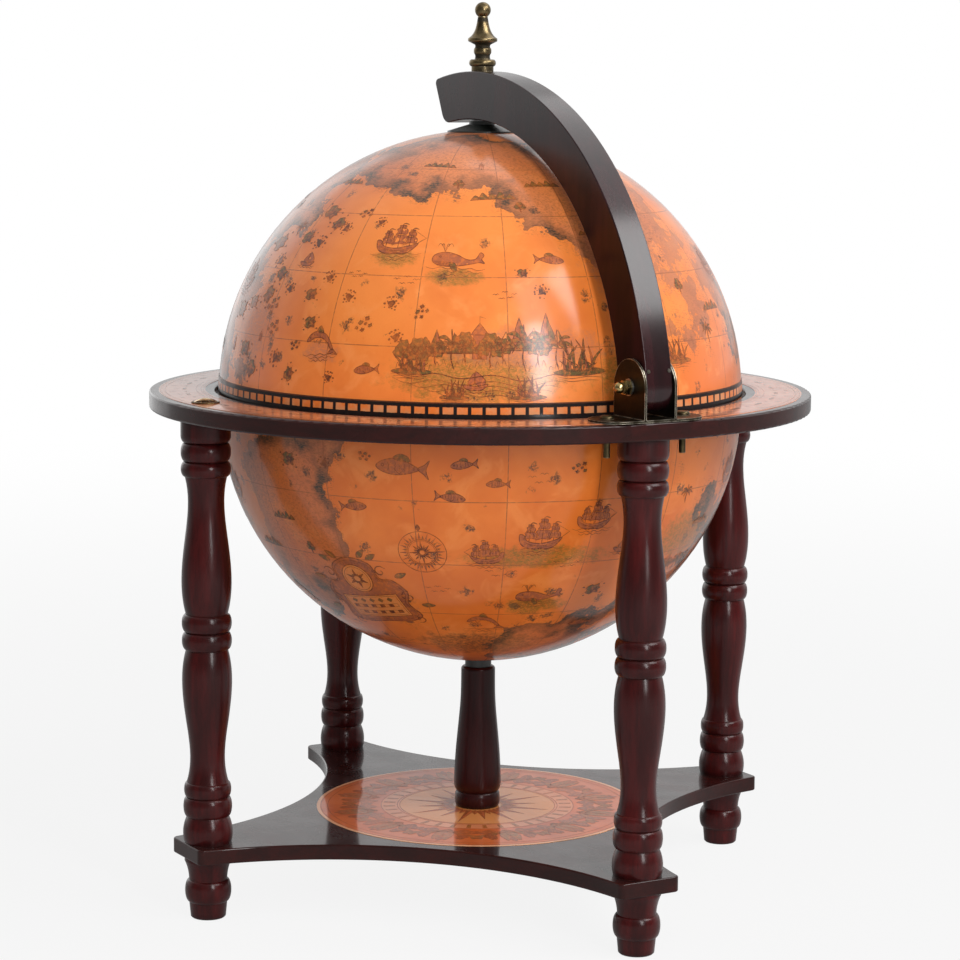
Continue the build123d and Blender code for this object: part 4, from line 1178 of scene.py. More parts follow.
@motif
def reeds(d):
    """Tall clump of reeds on a bank."""
    for i in range(17):
        x, lean = -0.55 + 0.07 * i, 0.5 * sin(i * 1.9)
        tall = 0.75 + 0.45 * sin(i * 2.7)
        mid_x, mid_y = x + 0.3 * lean, tall * 0.6
        left = [(x - 0.03, 0), (mid_x - 0.03, mid_y)]
        right = [(mid_x + 0.05, mid_y - 0.04), (x + 0.04, 0)]
        blade = flow(left + [(x + lean, tall)] + right, steps=3)
        d.shape(blade, "olive" if i % 3 else "russet", 0.8)
    for row in range(3):
        start, end = (-1 + 0.2 * row, -0.05 - 0.11 * row), (1 - 0.15 * row, -0.1 - 0.1 * row)
        d.curve([start, (-0.3, -0.12 - 0.1 * row), (0.3, -0.04 - 0.12 * row), end], 0.9)
    bank = [(-0.95, 0), (-0.4, 0.12), (0.1, 0.05), (0.6, 0.13), (0.98, 0)]
    d.blob(bank + [(0.3, -0.12), (-0.5, -0.1)], "olive", 0.8)


@motif
def crags(d):
    """Steep rocks with shaded sides."""
    slope = [(-1, 0), (-0.55, 0.42), (-0.36, 0.66), (0, 1), (0.22, 0.72), (0.5, 0.5), (1, 0)]
    rocks = ((-0.74, 0.5, 0.28), (-0.34, 0.92, 0.32), (0.08, 0.6, 0.3), (0.46, 1.05, 0.34))
    for i, (x, tall, wide) in enumerate((*rocks, (0.8, 0.55, 0.26))):
        outline = [(x + wide * px, tall * py) for px, py in slope]
        d.facet(outline, "russet" if i % 2 else "pale", 1.1)
        foot = [(x + 0.3 * wide, 0.08 * tall), (x + 0.06 * wide, 0.55 * tall)]
        d.tint(outline[3:] + foot, "olive")
        for k in range(6):
            top = (x + wide * (0.04 + 0.14 * k), tall * (0.74 - 0.12 * k))
            d.line([top, (top[0] - 0.08 * wide, top[1] * 0.45)], 0.9)
        d.line([(x - 0.3 * wide, 0.5 * tall), (x - 0.18 * wide, 0.2 * tall)], 0.9)


@motif
def scatter(d):
    """Handful of islets with dotted shoals."""
    places = ((-0.6, 0.1), (-0.2, -0.3), (-0.1, 0.35), (0.3, 0.05), (0.62, -0.28), (0.6, 0.4))
    for i, (x, y) in enumerate(places):
        r = 0.13 + 0.04 * (i % 3)
        ring = ragged(9, r, 0.8 * r, (0.3, 0.3), (3.3, 2.7), x, y, i)
        d.blob(ring, "ink" if i % 2 else "olive", 0.9, 3)
        for k in range(9):
            c, s = cos(k * tau / 9 + i), sin(k * tau / 9 + i)
            near, far = (x + 1.45 * r * c, y + 1.35 * r * s), (x + 1.8 * r * c, y + 1.7 * r * s)
            d.line([near, far], 0.7)


@motif
def isle(d):
    """One ragged island, shaded on one side, with its shoals."""
    ring = ragged(13, 0.62, 0.46, (0.3, 0.3), (4.1, 2.9))
    d.blob(ring, "olive", 1.1, 3)
    d.tint(flow(moved(ring, 0.1, -0.07, 0.66), True, 3)[:-1], "ink")
    for k, (x, y) in enumerate(ring):
        d.line([(x * 1.14, y * 1.14), (x * (1.34 + 0.1 * (k % 3)), y * 1.34)], 0.9)
    for x, y in ((-0.86, 0.4), (0.9, 0.34), (0.74, -0.6), (-0.7, -0.56)):
        d.dot(x, y, 0.09, 0.07, 7)


@motif
def atoll(d):
    """Small ragged island in a loose ring of shoal dots."""
    d.blob(ragged(9, 0.38, 0.32, (0.35, 0.3), (3.7, 5.3)), "ink", 0.9, 2)
    for k in range(15):
        turn, reach = k * tau / 15 + 0.25 * sin(7.0 * k), 0.7 + 0.2 * sin(4.3 * k)
        size = 0.07 + 0.04 * (1 + sin(2.6 * k))
        d.dot(reach * cos(turn), 0.85 * reach * sin(turn), size, 0.8 * size, 6)


@motif
def swells(d):
    """Open-water marks."""
    crest = flow([(-0.22, 0), (-0.1, 0.07), (0, 0), (0.1, 0.07), (0.22, 0)], steps=4)
    for x, y in ((-0.7, 0.1), (-0.1, 0.24), (0.5, 0.06), (-0.35, -0.2), (0.2, -0.16)):
        d.line(moved(crest, x, y), 0.8)


@motif
def scale(d):
    """Strapwork frame with a star in its crest over a plate of chequered scale bars."""
    foot = [(0, -0.96), (0.62, -1), (0.96, -0.86), (0.88, -0.42)]
    right = foot + [(1.04, -0.04), (0.86, 0.34), (0.58, 0.44), (0.5, 0.86), (0, 1.06)]
    outline = flow(right + [(-x, y) for x, y in right[-2:0:-1]], True, 6)
    d.shape(outline, "russet", 1.6)
    d.line(moved(outline, 0, 0, 0.93), 0.8, taper=False)
    for i, (x, y) in enumerate(outline[:-1]):
        if x > -0.3 or i % 2:
            d.line([(0.92 * x, 0.92 * y), (0.84 * x, 0.84 * y)], 0.9)
    crest_y = 0.46
    d.shape(arc(0, crest_y, 0.37, 0.4, steps=24), "pale", 1.6)
    d.ring(0, crest_y, 0.31, 0.34, 0.7, 24)
    for k in range(12):
        ray = turned([(0.045, 0.08), (0, 0.16 if k % 2 else 0.28), (-0.045, 0.08)], 30 * k)
        d.facet(moved(ray, 0, crest_y), "olive" if k % 2 else "ink", 0.7)
    for edge in (0, 0.05):
        x, low, high = 0.74 - edge, -0.8 + edge, -0.06 - edge
        plate = [(-x, low), (x, low), (x, high), (-x, high)]
        if edge:
            d.line(plate + plate[:1], 0.7, taper=False)
        else:
            d.facet(plate, "pale", 1.3)
    for row, y in enumerate((-0.68, -0.46)):
        for i in range(10):
            x = -0.6 + 0.12 * i
            block = [(x, y), (x + 0.12, y), (x + 0.12, y + 0.1), (x, y + 0.1)]
            d.line(block + block[:1], 0.7, taper=False)
            if (i + row) % 2:
                d.tint(block, "ink")
    for i in range(5):
        x = -0.48 + 0.24 * i
        d.facet([(x - 0.07, -0.22), (x, -0.29), (x + 0.07, -0.22), (x, -0.15)], "olive", 0.8)
    scrolls = ((1.0, -0.2, 0.19, 1.2), (0.7, 0.62, 0.17, 0.4), (0.84, -0.98, 0.14, 4.0))
    leaves = ((0.3, 1.04, -50), (0.98, 0.42, -80), (1.16, -0.5, -110), (0.5, 0.98, -70))
    for side in (-1, 1):
        for x, y, r, start in scrolls:
            turns = [(r * (1 - 0.085 * k), k * 0.7 + start) for k in range(11)]
            d.curve([(side * (x + out * cos(t)), y + out * sin(t)) for out, t in turns], 2.0, 3)
        for x, y, lean in leaves:
            leaf = turned([(0, 0), (0.07, 0.12), (0, 0.3), (-0.07, 0.12)], lean)
            d.blob([(side * (x + px), y + py) for px, py in leaf], "olive", 0.9)


# Motif, bearing and height angle in degrees, half width in mm, lean in degrees, -1 to mirror it.
# Their order sets which of two overlapping tints of one tone lies on top.
DOME_MOTIFS = (
    ("shore", -30, 11, 52), ("reeds", -9, 10, 17), ("reeds", -44, 10, 13, 0, -1),
    ("crags", -19, 15, 20), ("crags", -37, 14, 13, 0, -1), ("reeds", -20, 5, 11),
    ("reeds", -35, 5, 9, 0, -1), ("ship", -52, 37, 13, 3), ("leaper", -66, 15, 11, 6),
    ("whale", -36, 33, 14, -2), ("isle", -72, 25, 7, 10), ("atoll", -61, 25, 6, -8, -1),
    ("scatter", -56, 19, 7, 30), ("isle", -74, 8, 7, 60), ("atoll", -63, 8, 5, 0, -1),
    ("scatter", -82, 17, 7, 20), ("isle", -86, 29, 8, -30), ("atoll", -77, 37, 7, 0, -1),
    ("scatter", -43, 22, 6, 50), ("isle", -88, 8, 9, 35, -1), ("atoll", -79, 11, 7, 80),
    ("scatter", -84, 22, 8, 50, -1), ("isle", -94, 22, 8, 10), ("atoll", -90, 32, 7, 70),
    ("scatter", -73, 14, 5, 20, -1), ("isle", -83, 38, 8, 10), ("tower", -86, 14, 5),
    ("atoll", -70, 41, 6, 60), ("scatter", -66, 45, 6, 15), ("isle", -92, 12, 9),
    ("atoll", -16, 27, 6, 70), ("skiff", -78, 32, 7), ("fish", -54, 10, 8, 6),
    ("swells", -47, 29, 10), ("swells", -24, 26, 9, 3), ("fish", -13, 34, 9, -5, -1),
    ("swells", -60, 30, 8), ("hills", -26, 50, 13, 3), ("tree", -38, 53, 7),
    ("hills", -48, 61, 10, -4), ("hills", -8, 54, 11), ("tree", -18, 46, 7), ("tower", -30, 60, 6),
    ("swells", -66, 53, 8, -3), ("palm", -90, 38, 9, 4), ("hills", -84, 54, 10),
    ("tower", -99, 11, 7), ("ship", -106, 26, 12, -4, -1), ("rose", -124, 30, 14),
    ("fish", -114, 11, 10, 3), ("shore", -143, 12, 34, 0, -1), ("skiff", -158, 30, 8),
    ("whale", 175, 20, 13, 2), ("swells", -172, 38, 9), ("ship", 155, 27, 13),
    ("scatter", 140, 12, 7, 5), ("leaper", 127, 33, 11, -4, -1), ("shore", 101, 16, 40),
    ("hills", 92, 44, 12), ("fish", 72, 26, 9, 4, -1), ("isle", 64, 11, 8, -6),
    ("ship", 49, 30, 12, 2), ("palm", 30, 14, 10, -3), ("tree", 24, 25, 8), ("hills", 36, 21, 11),
    ("swells", 20, 38, 9), ("reeds", 17, 11, 12), ("tree", 6, 24, 8), ("hills", 2, 40, 10),
    ("swells", 62, 46, 8), ("hills", 130, 54, 10), ("atoll", -150, 50, 7),
    ("scatter", -130, 14, 7, 20), ("isle", 166, 46, 8), ("reeds", 84, 8, 12, 0, -1),
    ("atoll", 112, 40, 7, 40), ("fish", -166, 14, 10, 0, -1), ("hills", -118, 48, 11),
    ("tree", -108, 44, 8), ("isle", -96, 36, 11, 30), ("isle", -80, 45, 10, -20),
    ("isle", -88, 24, 9, 60, -1), ("atoll", -50, 24, 6), ("atoll", -48, 17, 6, 20),
    ("atoll", -80, 26, 6, 40), ("isle", -70, 19, 7, 10), ("isle", -74, 42, 8, 40, -1),
    ("atoll", -68, 29, 6, 10), ("isle", -100, 20, 10), ("atoll", -59, 43, 5), ("isle", -20, 31, 5),
)
BOWL_MOTIFS = (
    ("fish", -46, -8, 16, -4), ("fish", -33, -7, 8, 6), ("fish", -36, -14, 9, -6, -1),
    ("fish", -58, -17, 9, 5, -1), ("fish", -26, -11, 7), ("rose", -43, -27, 15, 4),
    ("ship", -16, -24, 13), ("ship", -28, -28, 10, 2, -1), ("ship", -4, -20, 11),
    ("skiff", 6, -27, 9, -2), ("swells", -16, -10, 12), ("swells", -24, -32, 12),
    ("swells", -8, -30, 12), ("whale", -14, -40, 13, 2), ("swells", -40, -37, 10),
    ("scale", -62, -40, 28, 8), ("leaper", -28, -48, 11, 2), ("scatter", -9, -8, 6, 5),
    ("isle", -74, -8, 8), ("atoll", -64, -8, 6, 40), ("scatter", -54, -6, 5, 0, -1),
    ("isle", 2, -38, 8, 10), ("atoll", 12, -12, 6), ("hills", -80, -22, 10), ("tree", -74, -30, 7),
    ("hills", -92, -30, 12), ("ship", -104, -18, 13, -3), ("fish", -120, -12, 14, 4, -1),
    ("rose", -140, -24, 15), ("scatter", -126, -34, 7), ("shore", -172, -16, 36),
    ("whale", 158, -34, 14), ("ship", 140, -18, 13, 3), ("fish", 122, -28, 12, -5),
    ("scale", 98, -30, 25, -5), ("isle", 76, -12, 8), ("skiff", 62, -26, 9, 2),
    ("ship", 44, -14, 12, 0, -1), ("shore", 26, -36, 28), ("palm", 22, -18, 9),
    ("hills", 34, -24, 10), ("fish", 60, -44, 10), ("swells", -150, -42, 10),
    ("leaper", -96, -44, 11), ("swells", 118, -50, 10), ("swells", -60, -58, 9),
    ("reeds", -116, -26, 10), ("fish", 6, -50, 9),
)


def on_globe(middle_z, east, north, lean=0, mirror=1):
    """Lays flat millimetres on the globe about a bearing and height angle: place(x, y, lift)."""
    up = aim_vector(east, north)
    right = Vector((0, 0, 1)).cross(up).normalized()
    ahead = up.cross(right)
    c, s = cos(radians(lean)), sin(radians(lean))
    middle = Vector((0, 0, middle_z))

    def place(x, y, lift):
        x *= mirror
        x, y = x * c - y * s, x * s + y * c
        far = hypot(x, y) * MM
        if far == 0:
            return middle + up * (GLOBE_R + lift)
        bow = far / GLOBE_R
        side = (right * x + ahead * y) * (MM / far)
        return middle + (up * cos(bow) + side * sin(bow)) * (GLOBE_R + lift)

    return place


def on_flat(z, turn=90, x0=0, y0=0):
    """Lays flat millimetres on a level paper, y outwards along a bearing: place(x, y, lift)."""
    c, s = cos(radians(turn - 90)), sin(radians(turn - 90))

    def place(x, y, lift):
        return Vector((x0 + (x * c - y * s) * MM, y0 + (x * s + y * c) * MM, z + lift))

    return place


def link(name, data):
    """A new object of the scene."""
    made = bpy.data.objects.new(name, data)
    bpy.context.scene.collection.objects.link(made)
    return made


class Marks:
    """Collects strokes and tints as thin faces and makes one piece of them."""

    TONES = ("ink", "russet", "olive", "pale")
    # Share of the lift at which a tone lies. Tints laid one after another differ by LEVEL, so
    # that overlapping ones don't coincide.
    LAYERS = {"russet": 0.25, "pale": 0.43, "olive": 0.6, "ink": 0.78}
    LEVEL, LEVELS = 0.025, 7
    THIN_END = 0.35
    LONGEST_SIDE = 1.9

    def __init__(self, stroke, lift, finest=2.5):
        self.stroke_width, self.lift, self.finest = stroke / MM, lift, finest
        self.points, self.faces, self.tones, self.laid = [], [], [], 0

    def put(self, corners, tone):
        """One face."""
        first = len(self.points)
        self.points += corners
        self.faces.append(tuple(range(first, first + len(corners))))
        self.tones.append(self.TONES.index(tone))

    def stroke(self, points, weight, taper, place, mirror=1):
        """A ribbon along the points, thin at its ends."""
        fine = [points[0]]
        for start, end in zip(points, points[1:]):
            parts = max(1, int(hypot(end[0] - start[0], end[1] - start[1]) / self.finest))
            for k in range(1, parts + 1):
                fine.append(tuple(a + (b - a) * k / parts for a, b in zip(start, end)))
        closed = points[0] == points[-1]
        last = len(fine) - 1
        rails = []
        for i, (x, y) in enumerate(fine):
            before = fine[i - 1] if i else fine[-2 if closed else 0]
            after = fine[i + 1] if i < last else fine[1 if closed else -1]
            dx, dy = after[0] - before[0], after[1] - before[1]
            size = hypot(dx, dy) or 1
            swell = self.THIN_END + (1 - self.THIN_END) * sin(pi * i / last) if taper else 1
            half = self.stroke_width * weight * swell / 2
            nx, ny = -dy / size * half, dx / size * half
            rails.append((place(x + nx, y + ny, self.lift), place(x - nx, y - ny, self.lift)))
        for (left, right), (next_left, next_right) in zip(rails, rails[1:]):
            corners = [right, next_right, next_left, left]
            self.put(corners if mirror > 0 else corners[::-1], "ink")

    def tint(self, points, tone, place, mirror=1):
        """A filled shape, cut small enough to follow the surface."""
        self.laid += 1
        lift = self.lift * (self.LAYERS[tone] + self.LEVEL * (self.laid % self.LEVELS))
        flat = [Vector((x, y, 0)) for x, y in points]
        stack = [tuple(flat[i] for i in corner) for corner in geometry.tessellate_polygon([flat])]
        while stack:
            a, b, c = stack.pop()
            if (b - a).cross(c - a).z * mirror < 0:
                b, c = c, b
            sides = ((a, b, c), (b, c, a), (c, a, b))
            p, q, r = max(sides, key=lambda side: (side[0] - side[1]).length)
            if (p - q).length > self.LONGEST_SIDE * self.finest:
                middle = (p + q) / 2
                stack += [(p, middle, r), (middle, q, r)]
            else:
                self.put([place(v.x, v.y, lift) for v in (a, b, c)], tone)

    def draw(self, drawing, place, size=1.0, mirror=1):
        """Puts a whole drawing down at its size in mm."""
        for points, tone in drawing.tints:
            self.tint(moved(points, 0, 0, size), tone, place, mirror)
        for points, weight, taper in drawing.strokes:
            self.stroke(moved(points, 0, 0, size), weight, taper, place, mirror)

    def make(self, name, body, slot, finishes):
        """The finished piece, riding on its body."""
        mesh = bpy.data.meshes.new(name)
        mesh.from_pydata(self.points, [], self.faces)
        for made in finishes:
            mesh.materials.append(made)
        mesh.polygons.foreach_set("material_index", self.tones)
        mesh.polygons.foreach_set("use_smooth", [True] * len(self.faces))
        mesh.update()
        piece = link(name, mesh)
        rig.ride(piece, body)
        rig.slot(piece, slot)


# Strokes of the digits, in a box 1 wide and DIGIT_TALL high.
DIGIT_TALL, DIGIT_PITCH, DIGIT_GAP = 1.6, 1.35, 0.35
HOOK_2 = [(0.08, 1.2), (0.5, 1.6), (0.9, 1.2), (0.5, 0.6), (0.06, 0.02)]
HOOK_3 = [(0.1, 1.45), (0.5, 1.6), (0.85, 1.22), (0.45, 0.88), (0.92, 0.45), (0.5, 0), (0.06, 0.2)]
HOOK_5 = [(0.14, 0.9), (0.55, 1.02), (0.92, 0.52), (0.5, 0), (0.06, 0.18)]
HOOK_6 = [(0.82, 1.5), (0.3, 1.2), (0.08, 0.5), (0.5, 0), (0.9, 0.45), (0.5, 0.88), (0.1, 0.5)]
HOOK_9 = [(0.18, 0.1), (0.7, 0.4), (0.92, 1.1), (0.5, 1.6), (0.1, 1.15), (0.5, 0.72), (0.9, 1.1)]
DIGITS = {
    "0": [arc(0.5, 0.8, 0.42, 0.78, 90, 450, 12)],
    "1": [[(0.2, 1.25), (0.55, 1.6), (0.55, 0)]],
    "2": [flow(HOOK_2) + [(0.95, 0.02)]],
    "3": [flow(HOOK_3)],
    "4": [[(0.72, 0), (0.72, 1.6), (0.04, 0.5), (0.98, 0.5)]],
    "5": [[(0.88, 1.58), (0.2, 1.58), (0.14, 0.9)] + flow(HOOK_5)],
    "6": [flow(HOOK_6)],
    "7": [[(0.05, 1.58), (0.95, 1.58), (0.35, 0)]],
    "8": [arc(0.5, 1.2, 0.34, 0.38), arc(0.5, 0.42, 0.42, 0.42)],
    "9": [flow(HOOK_9)],
}


def number(value, high):
    """A number in single strokes, centred on its own middle, in mm."""
    text = str(value)
    unit = high / DIGIT_TALL
    d = Drawing()
    for place, digit in enumerate(text):
        shift = (place * DIGIT_PITCH - (len(text) * DIGIT_PITCH - DIGIT_GAP) / 2) * unit
        for points in DIGITS[digit]:
            d.line(moved(points, shift, -high / 2, unit), 0.9, taper=False)
    return d


# ---- Operators ---------------------------------------------------------------------------

FLAT_COAT, GLOBE_INK_COAT = 0.045, 0.16
FLAT_LIFT = 0.00008
MEDALLION_IOR = 1.24
# How far under the band's upper edge its pale line starts and is full, and how far print wanders.
EDGE_START, EDGE_FULL, WANDER = 0.0009, 0.0006, 0.0006
# Width of the border round the shelf paper's heart in mm, and where its rim line starts, in metres.
HEART_BORDER, RIM_LINE = 12.0, 0.002
# On the ring's paper: radius in mm and weight of each circle, then radii of the rest in mm.
RING_CIRCLES = ((174.6, 1.0), (176.0, 1.0), (198.6, 1.0), (179.2, 0.6), (201.4, 0.6))
INNER_TICK, OUTER_TICK, LONG_TICK = (176.0, 179.2), (198.6, 201.4), (198.6, 202.2)
NUMBER_R, NUMBER_HIGH, LEAF_R, CURL_R = 194.2, 3.6, 186, 187
# Heights of the finial's narrow necks in metres, painted dark in the patina's colour as the shade of their deep gaps,
# and how soft that starts.
FINIAL_NECKS = ((0.5165, 0.5176), (0.5244, 0.528), (0.5312, 0.5352), (0.5472, 0.5505))
NECK_SOFT = 0.0006
PLY_LAYER = 0.0018
CARD_STROKE, CARD_LIFT = 0.00022, 0.00004


def ink_finishes(context, paper, under, coat_rough=FLAT_COAT, coat_ior=1.5, faint=0.0):
    """Finishes of the drawn tones over a paper of that colour."""
    look = settings(context, "ink")
    return [
        ink_finish(f"{tone}_on_{paper}", getattr(look, tone), under, coat_rough, coat_ior, faint)
        for tone in Marks.TONES
    ]


class GLOBEBAR_OT_globe_paper(bpy.types.Operator):
    """Covers both halves of the globe with their printed and varnished map paper."""

    bl_idname = "globe_bar.globe_paper"
    bl_label = "Globe paper"

    def execute(self, context):
        look = settings(context, "paper")
        for half, middle_z in (("dome", DOME_MIDDLE_Z), ("bowl", BOWL_MIDDLE_Z)):
            fit_finish(globe_finish(look, half, middle_z), half + "_shell")
        return {"FINISHED"}


class GLOBEBAR_OT_globe_marks(bpy.types.Operator):
    """Draws the ships, fish, wind roses and shores on the globe."""

    bl_idname = "globe_bar.globe_marks"
    bl_label = "Globe marks"

    def execute(self, context):
        look, under = settings(context, "ink"), settings(context, "paper").sea_deep
        made = ink_finishes(context, "globe", under, GLOBE_INK_COAT, 1.42)
        for body, motifs, middle_z in (
            ("dome", DOME_MOTIFS, DOME_MIDDLE_Z),
            ("bowl", BOWL_MOTIFS, BOWL_MIDDLE_Z),
        ):
            marks = Marks(look.stroke, look.lift)
            for kind, east, north, size, *how in motifs:
                mirror = how[1] if len(how) > 1 else 1
                marks.draw(MOTIFS[kind](), on_globe(middle_z, east, north, *how), size, mirror)
            marks.make(f"{body}_drawings", body, "globe_paper", made)
        return {"FINISHED"}


class GLOBEBAR_OT_equator_band(bpy.types.Operator):
    """Prints the chequered band round the dome's rim."""

    bl_idname = "globe_bar.equator_band"
    bl_label = "Equator band"

    def execute(self, context):
        look, deep = settings(context, "band"), settings(context, "paper").sea_deep
        b = Finish("chequered_band")
        east = globe_place(b, middle_height=DOME_MIDDLE_Z).east
        side = abs((east * (look.count / tau)).fract() - 0.5)
        level = b.point.part("z") + (b.point.noise(500.0, 2.0) - 0.5) * WANDER
        soft = 0.0001
        low, high = BAND_LOW + look.low - soft, BAND_LOW + look.high + soft
        blocks = side.ramp(look.fill / 2 - 0.02, look.fill / 2 + 0.02, 1.0, 0.0)
        blocks = blocks * level.between(low, high, 2 * soft)
        rim = level.ramp(BAND_HIGH - EDGE_START, BAND_HIGH - EDGE_FULL)
        paint = paper_tone(b, scale=60.0, pale=look.dash, middle=look.dash, deep=deep).colour
        clouds = b.point.noise(260.0, 3.0).ramp(0.5, 0.75, 0.0, 0.5)
        ground = b.mix(clouds, look.ground, (0.03, 0.018, 0.014))
        ground = b.mix(rim * 0.12, ground, paint)
        skin = varnish(b, scale=40.0, ripple_scale=300.0, smooth=0.3, dull=0.5)
        made = b.shade(
            base_color=b.mix(blocks, ground, paint),
            roughness=skin.roughness,
            normal=b.bump(skin.height, 0.00004, 0.3),
            coat_weight=0.35,
            coat_roughness=0.12,
            specular_ior_level=0.1,
        )
        fit_finish(made, "equator_band")
        return {"FINISHED"}


def flat_paper(name, middle, deep, pale, blend=None, coat_ior=1.5):
    """Varnished paper glued to a flat board. blend(bench, tone) may paint over the tone."""
    b = Finish(name)
    paint = paper_tone(b, scale=22.0, pale=pale, middle=middle, deep=deep).colour
    if blend:
        paint = blend(b, paint)
    film = settled_dust(b, amount=0.07).dust
    skin = varnish(b, scale=26.0, ripple_scale=140.0, smooth=0.3, dull=0.46)
    return b.shade(
        base_color=b.mix(film, paint, DUST_GREY),
        roughness=skin.roughness,
        normal=b.bump(skin.height, 0.00002, 0.15),
        coat_weight=1.0 - film * 1.5,
        coat_roughness=FLAT_COAT,
        coat_ior=coat_ior,
        specular_ior_level=0.08,
    )


def ring_star():
    """Small four-pointed star of the ring's paper, in mm."""
    d = Drawing()
    for quarter in range(4):
        kite = turned([(0.35, 0.35), (0, 2.3), (-0.35, 0.35)], 90 * quarter)
        d.facet(moved(kite, 0, LEAF_R), "ink" if quarter % 2 else "russet", 0.7)
    return d


def ring_leaves():
    """Pair of leaves and curls between two stars of the ring's paper, in mm."""
    d = Drawing()
    for side in (-1, 1):
        leaf = flow([(0, 0), (side * 2.2, 1.6), (side * 5.4, 0.6), (side * 2.6, -0.8)], True, 4)
        d.shape(moved(leaf, 0, LEAF_R), "olive", 0.7)
        curl = flow([(side * 4.8, 4.4), (side * 2.2, 5.6), (side * 1.0, 3.4), (side * 3.0, 2.6)])
        d.line(moved(curl, 0, CURL_R), 0.8)
    return d


class GLOBEBAR_OT_ring(bpy.types.Operator):
    """Finishes both boards, and the ring's paper with the degree scale printed on it."""

    bl_idname = "globe_bar.ring"
    bl_label = "Boards and ring"

    def execute(self, context):
        wood, look, ink = (settings(context, name) for name in ("wood", "flat", "ink"))
        for node, name, coat_rough in (
            ("shelf_board", "board_lacquer", 0.06),
            ("ring_board", "ring_lacquer", 0.17),
        ):
            fit_finish(lacquer(name, "board", wood, (9.0, 62.0, 90.0), coat_rough), node)
        fit_finish(flat_paper("ring_paper", look.ring, look.ring_deep, look.border), "ring_print")
        marks = Marks(ink.stroke * 0.8, FLAT_LIFT, 3.0)
        for radius, weight in RING_CIRCLES:
            circle = arc(0, 0, radius, radius, steps=180)
            marks.stroke(circle, weight, False, on_flat(RING_PRINT_Z))
        for step in range(180):
            ticks = [OUTER_TICK if step % 5 else LONG_TICK] + [INNER_TICK] * (step % 2)
            for low, high in ticks:
                marks.stroke([(0, low), (0, high)], 0.7, False, on_flat(RING_PRINT_Z, 2 * step))
        for step in range(36):
            place = on_flat(RING_PRINT_Z, 10 * step)
            count = number(10 * (step % 10) if step % 10 else 100, NUMBER_HIGH)
            marks.draw(count, lambda x, y, z, p=place: p(x, y + NUMBER_R, z))
            marks.draw(ring_star(), place)
            marks.draw(ring_leaves(), on_flat(RING_PRINT_Z, 10 * step + 5))
        finishes = ink_finishes(context, "ring", look.ring, faint=0.34)
        marks.make("ring_scale", "stand", "ring_paper", finishes)
        return {"FINISHED"}


def medallion_star(heart):
    """Circles, star and bars of the shelf's paper, in mm. heart is its paler disc's radius."""
    d = Drawing()
    for radius in (heart, heart + 1.6, heart + HEART_BORDER, 96.5, 100.8):
        d.ring(0, 0, radius, radius, 1.1, 180)
    d.star(32, (2.6, 18, 15), (heart - 3, heart - 24, heart - 12, heart - 24), 0.8, "russet")
    low, high = heart + 3, heart + 10.5
    for i in range(1, 72, 2):
        d.tint(turned([(-1.2, low), (1.2, low), (1.5, high), (-1.5, high)], 5 * i), "olive")
    return d


def medallion_spray():
    """One spray of leaves, plumes and a bud on the shelf's paper, in mm."""
    d = Drawing()
    lower, upper = [(9, 64), (15, 67), (18.5, 65), (19, 72), (14, 75)], [(17, 81), (11, 88)]
    for side in (-1, 1):
        for root, reach, lean in ((66, 26, 4), (68, 20, 13), (72, 13, 20)):
            near, tip = (side * (lean + 2), root + reach * 0.45), (side * lean, root + reach)
            leaf = [(side * 0.4, root), near, tip, (side * (lean - 4.5), root + reach * 0.5)]
            d.blob(leaf, "olive", 1.2, 5)
        plume = lower + upper + [(8.5, 81), (10.5, 74), (6, 70)]
        d.tint(flow([(side * x, y) for x, y in plume], True)[:-1], "ink")
    d.tint(flow([(0, 84), (2.6, 89), (0, 94.5), (-2.6, 89)], True)[:-1], "ink")
    return d


class GLOBEBAR_OT_medallion(bpy.types.Operator):
    """Finishes the round paper on the shelf and draws its star and leaves."""

    bl_idname = "globe_bar.medallion"
    bl_label = "Medallion"

    def execute(self, context):
        look, ink = settings(context, "flat"), settings(context, "ink")
        soft = 0.0002

        def zones(b, tone):
            radius = b.vector("LENGTH", b.point * (1.0, 1.0, 0.0))
            inner, outer = look.heart_r - soft, look.heart_r + HEART_BORDER * MM + soft
            rim = MEDALLION_R - RIM_LINE
            out = b.mix(radius.ramp(inner, look.heart_r + soft, 1.0, 0.0) * 0.85, tone, look.heart)
            out = b.mix(radius.between(inner, outer, 2 * soft) * 0.4, out, look.border)
            return b.mix(radius.ramp(rim - soft, rim + soft), out, look.border)

        middle, deep = look.medallion, look.medallion_deep
        paper = flat_paper("medallion_paper", middle, deep, middle, zones, MEDALLION_IOR)
        fit_finish(paper, "shelf_medallion")
        marks = Marks(ink.stroke, FLAT_LIFT, 4.0)
        marks.draw(medallion_star(look.heart_r / MM), on_flat(MEDALLION_Z))
        for i in range(12):
            marks.draw(medallion_spray(), on_flat(MEDALLION_Z, 30 * i + 15))
        finishes = ink_finishes(context, "medallion", middle, coat_ior=MEDALLION_IOR, faint=0.22)
        marks.make("medallion_drawings", "stand", "medallion_paper", finishes)
        return {"FINISHED"}


class GLOBEBAR_OT_legs(bpy.types.Operator):
    """Lacquers the turned posts, feet and centre column."""

    bl_idname = "globe_bar.legs"
    bl_label = "Turned legs"

    def execute(self, context):
        wood, run = settings(context, "wood"), (85.0, 85.0, 7.0)
        made = lacquer("turned_lacquer", "leg", wood, run, 0.22, 0.0009, 0.22, 0.08)
        # Painted shade: a darker copy of the legs' lacquer for the column in the bowl's shade.
        shaded = lacquer("column_lacquer", "column", wood, run, 0.25, 0.0009, 0.22, 0.08, 1.3)
        fit_finish(shaded, "centre_column")
        for side in ("back", "left", "front", "right"):
            fit_finish(made, "post_" + side, "foot_" + side)
        return {"FINISHED"}


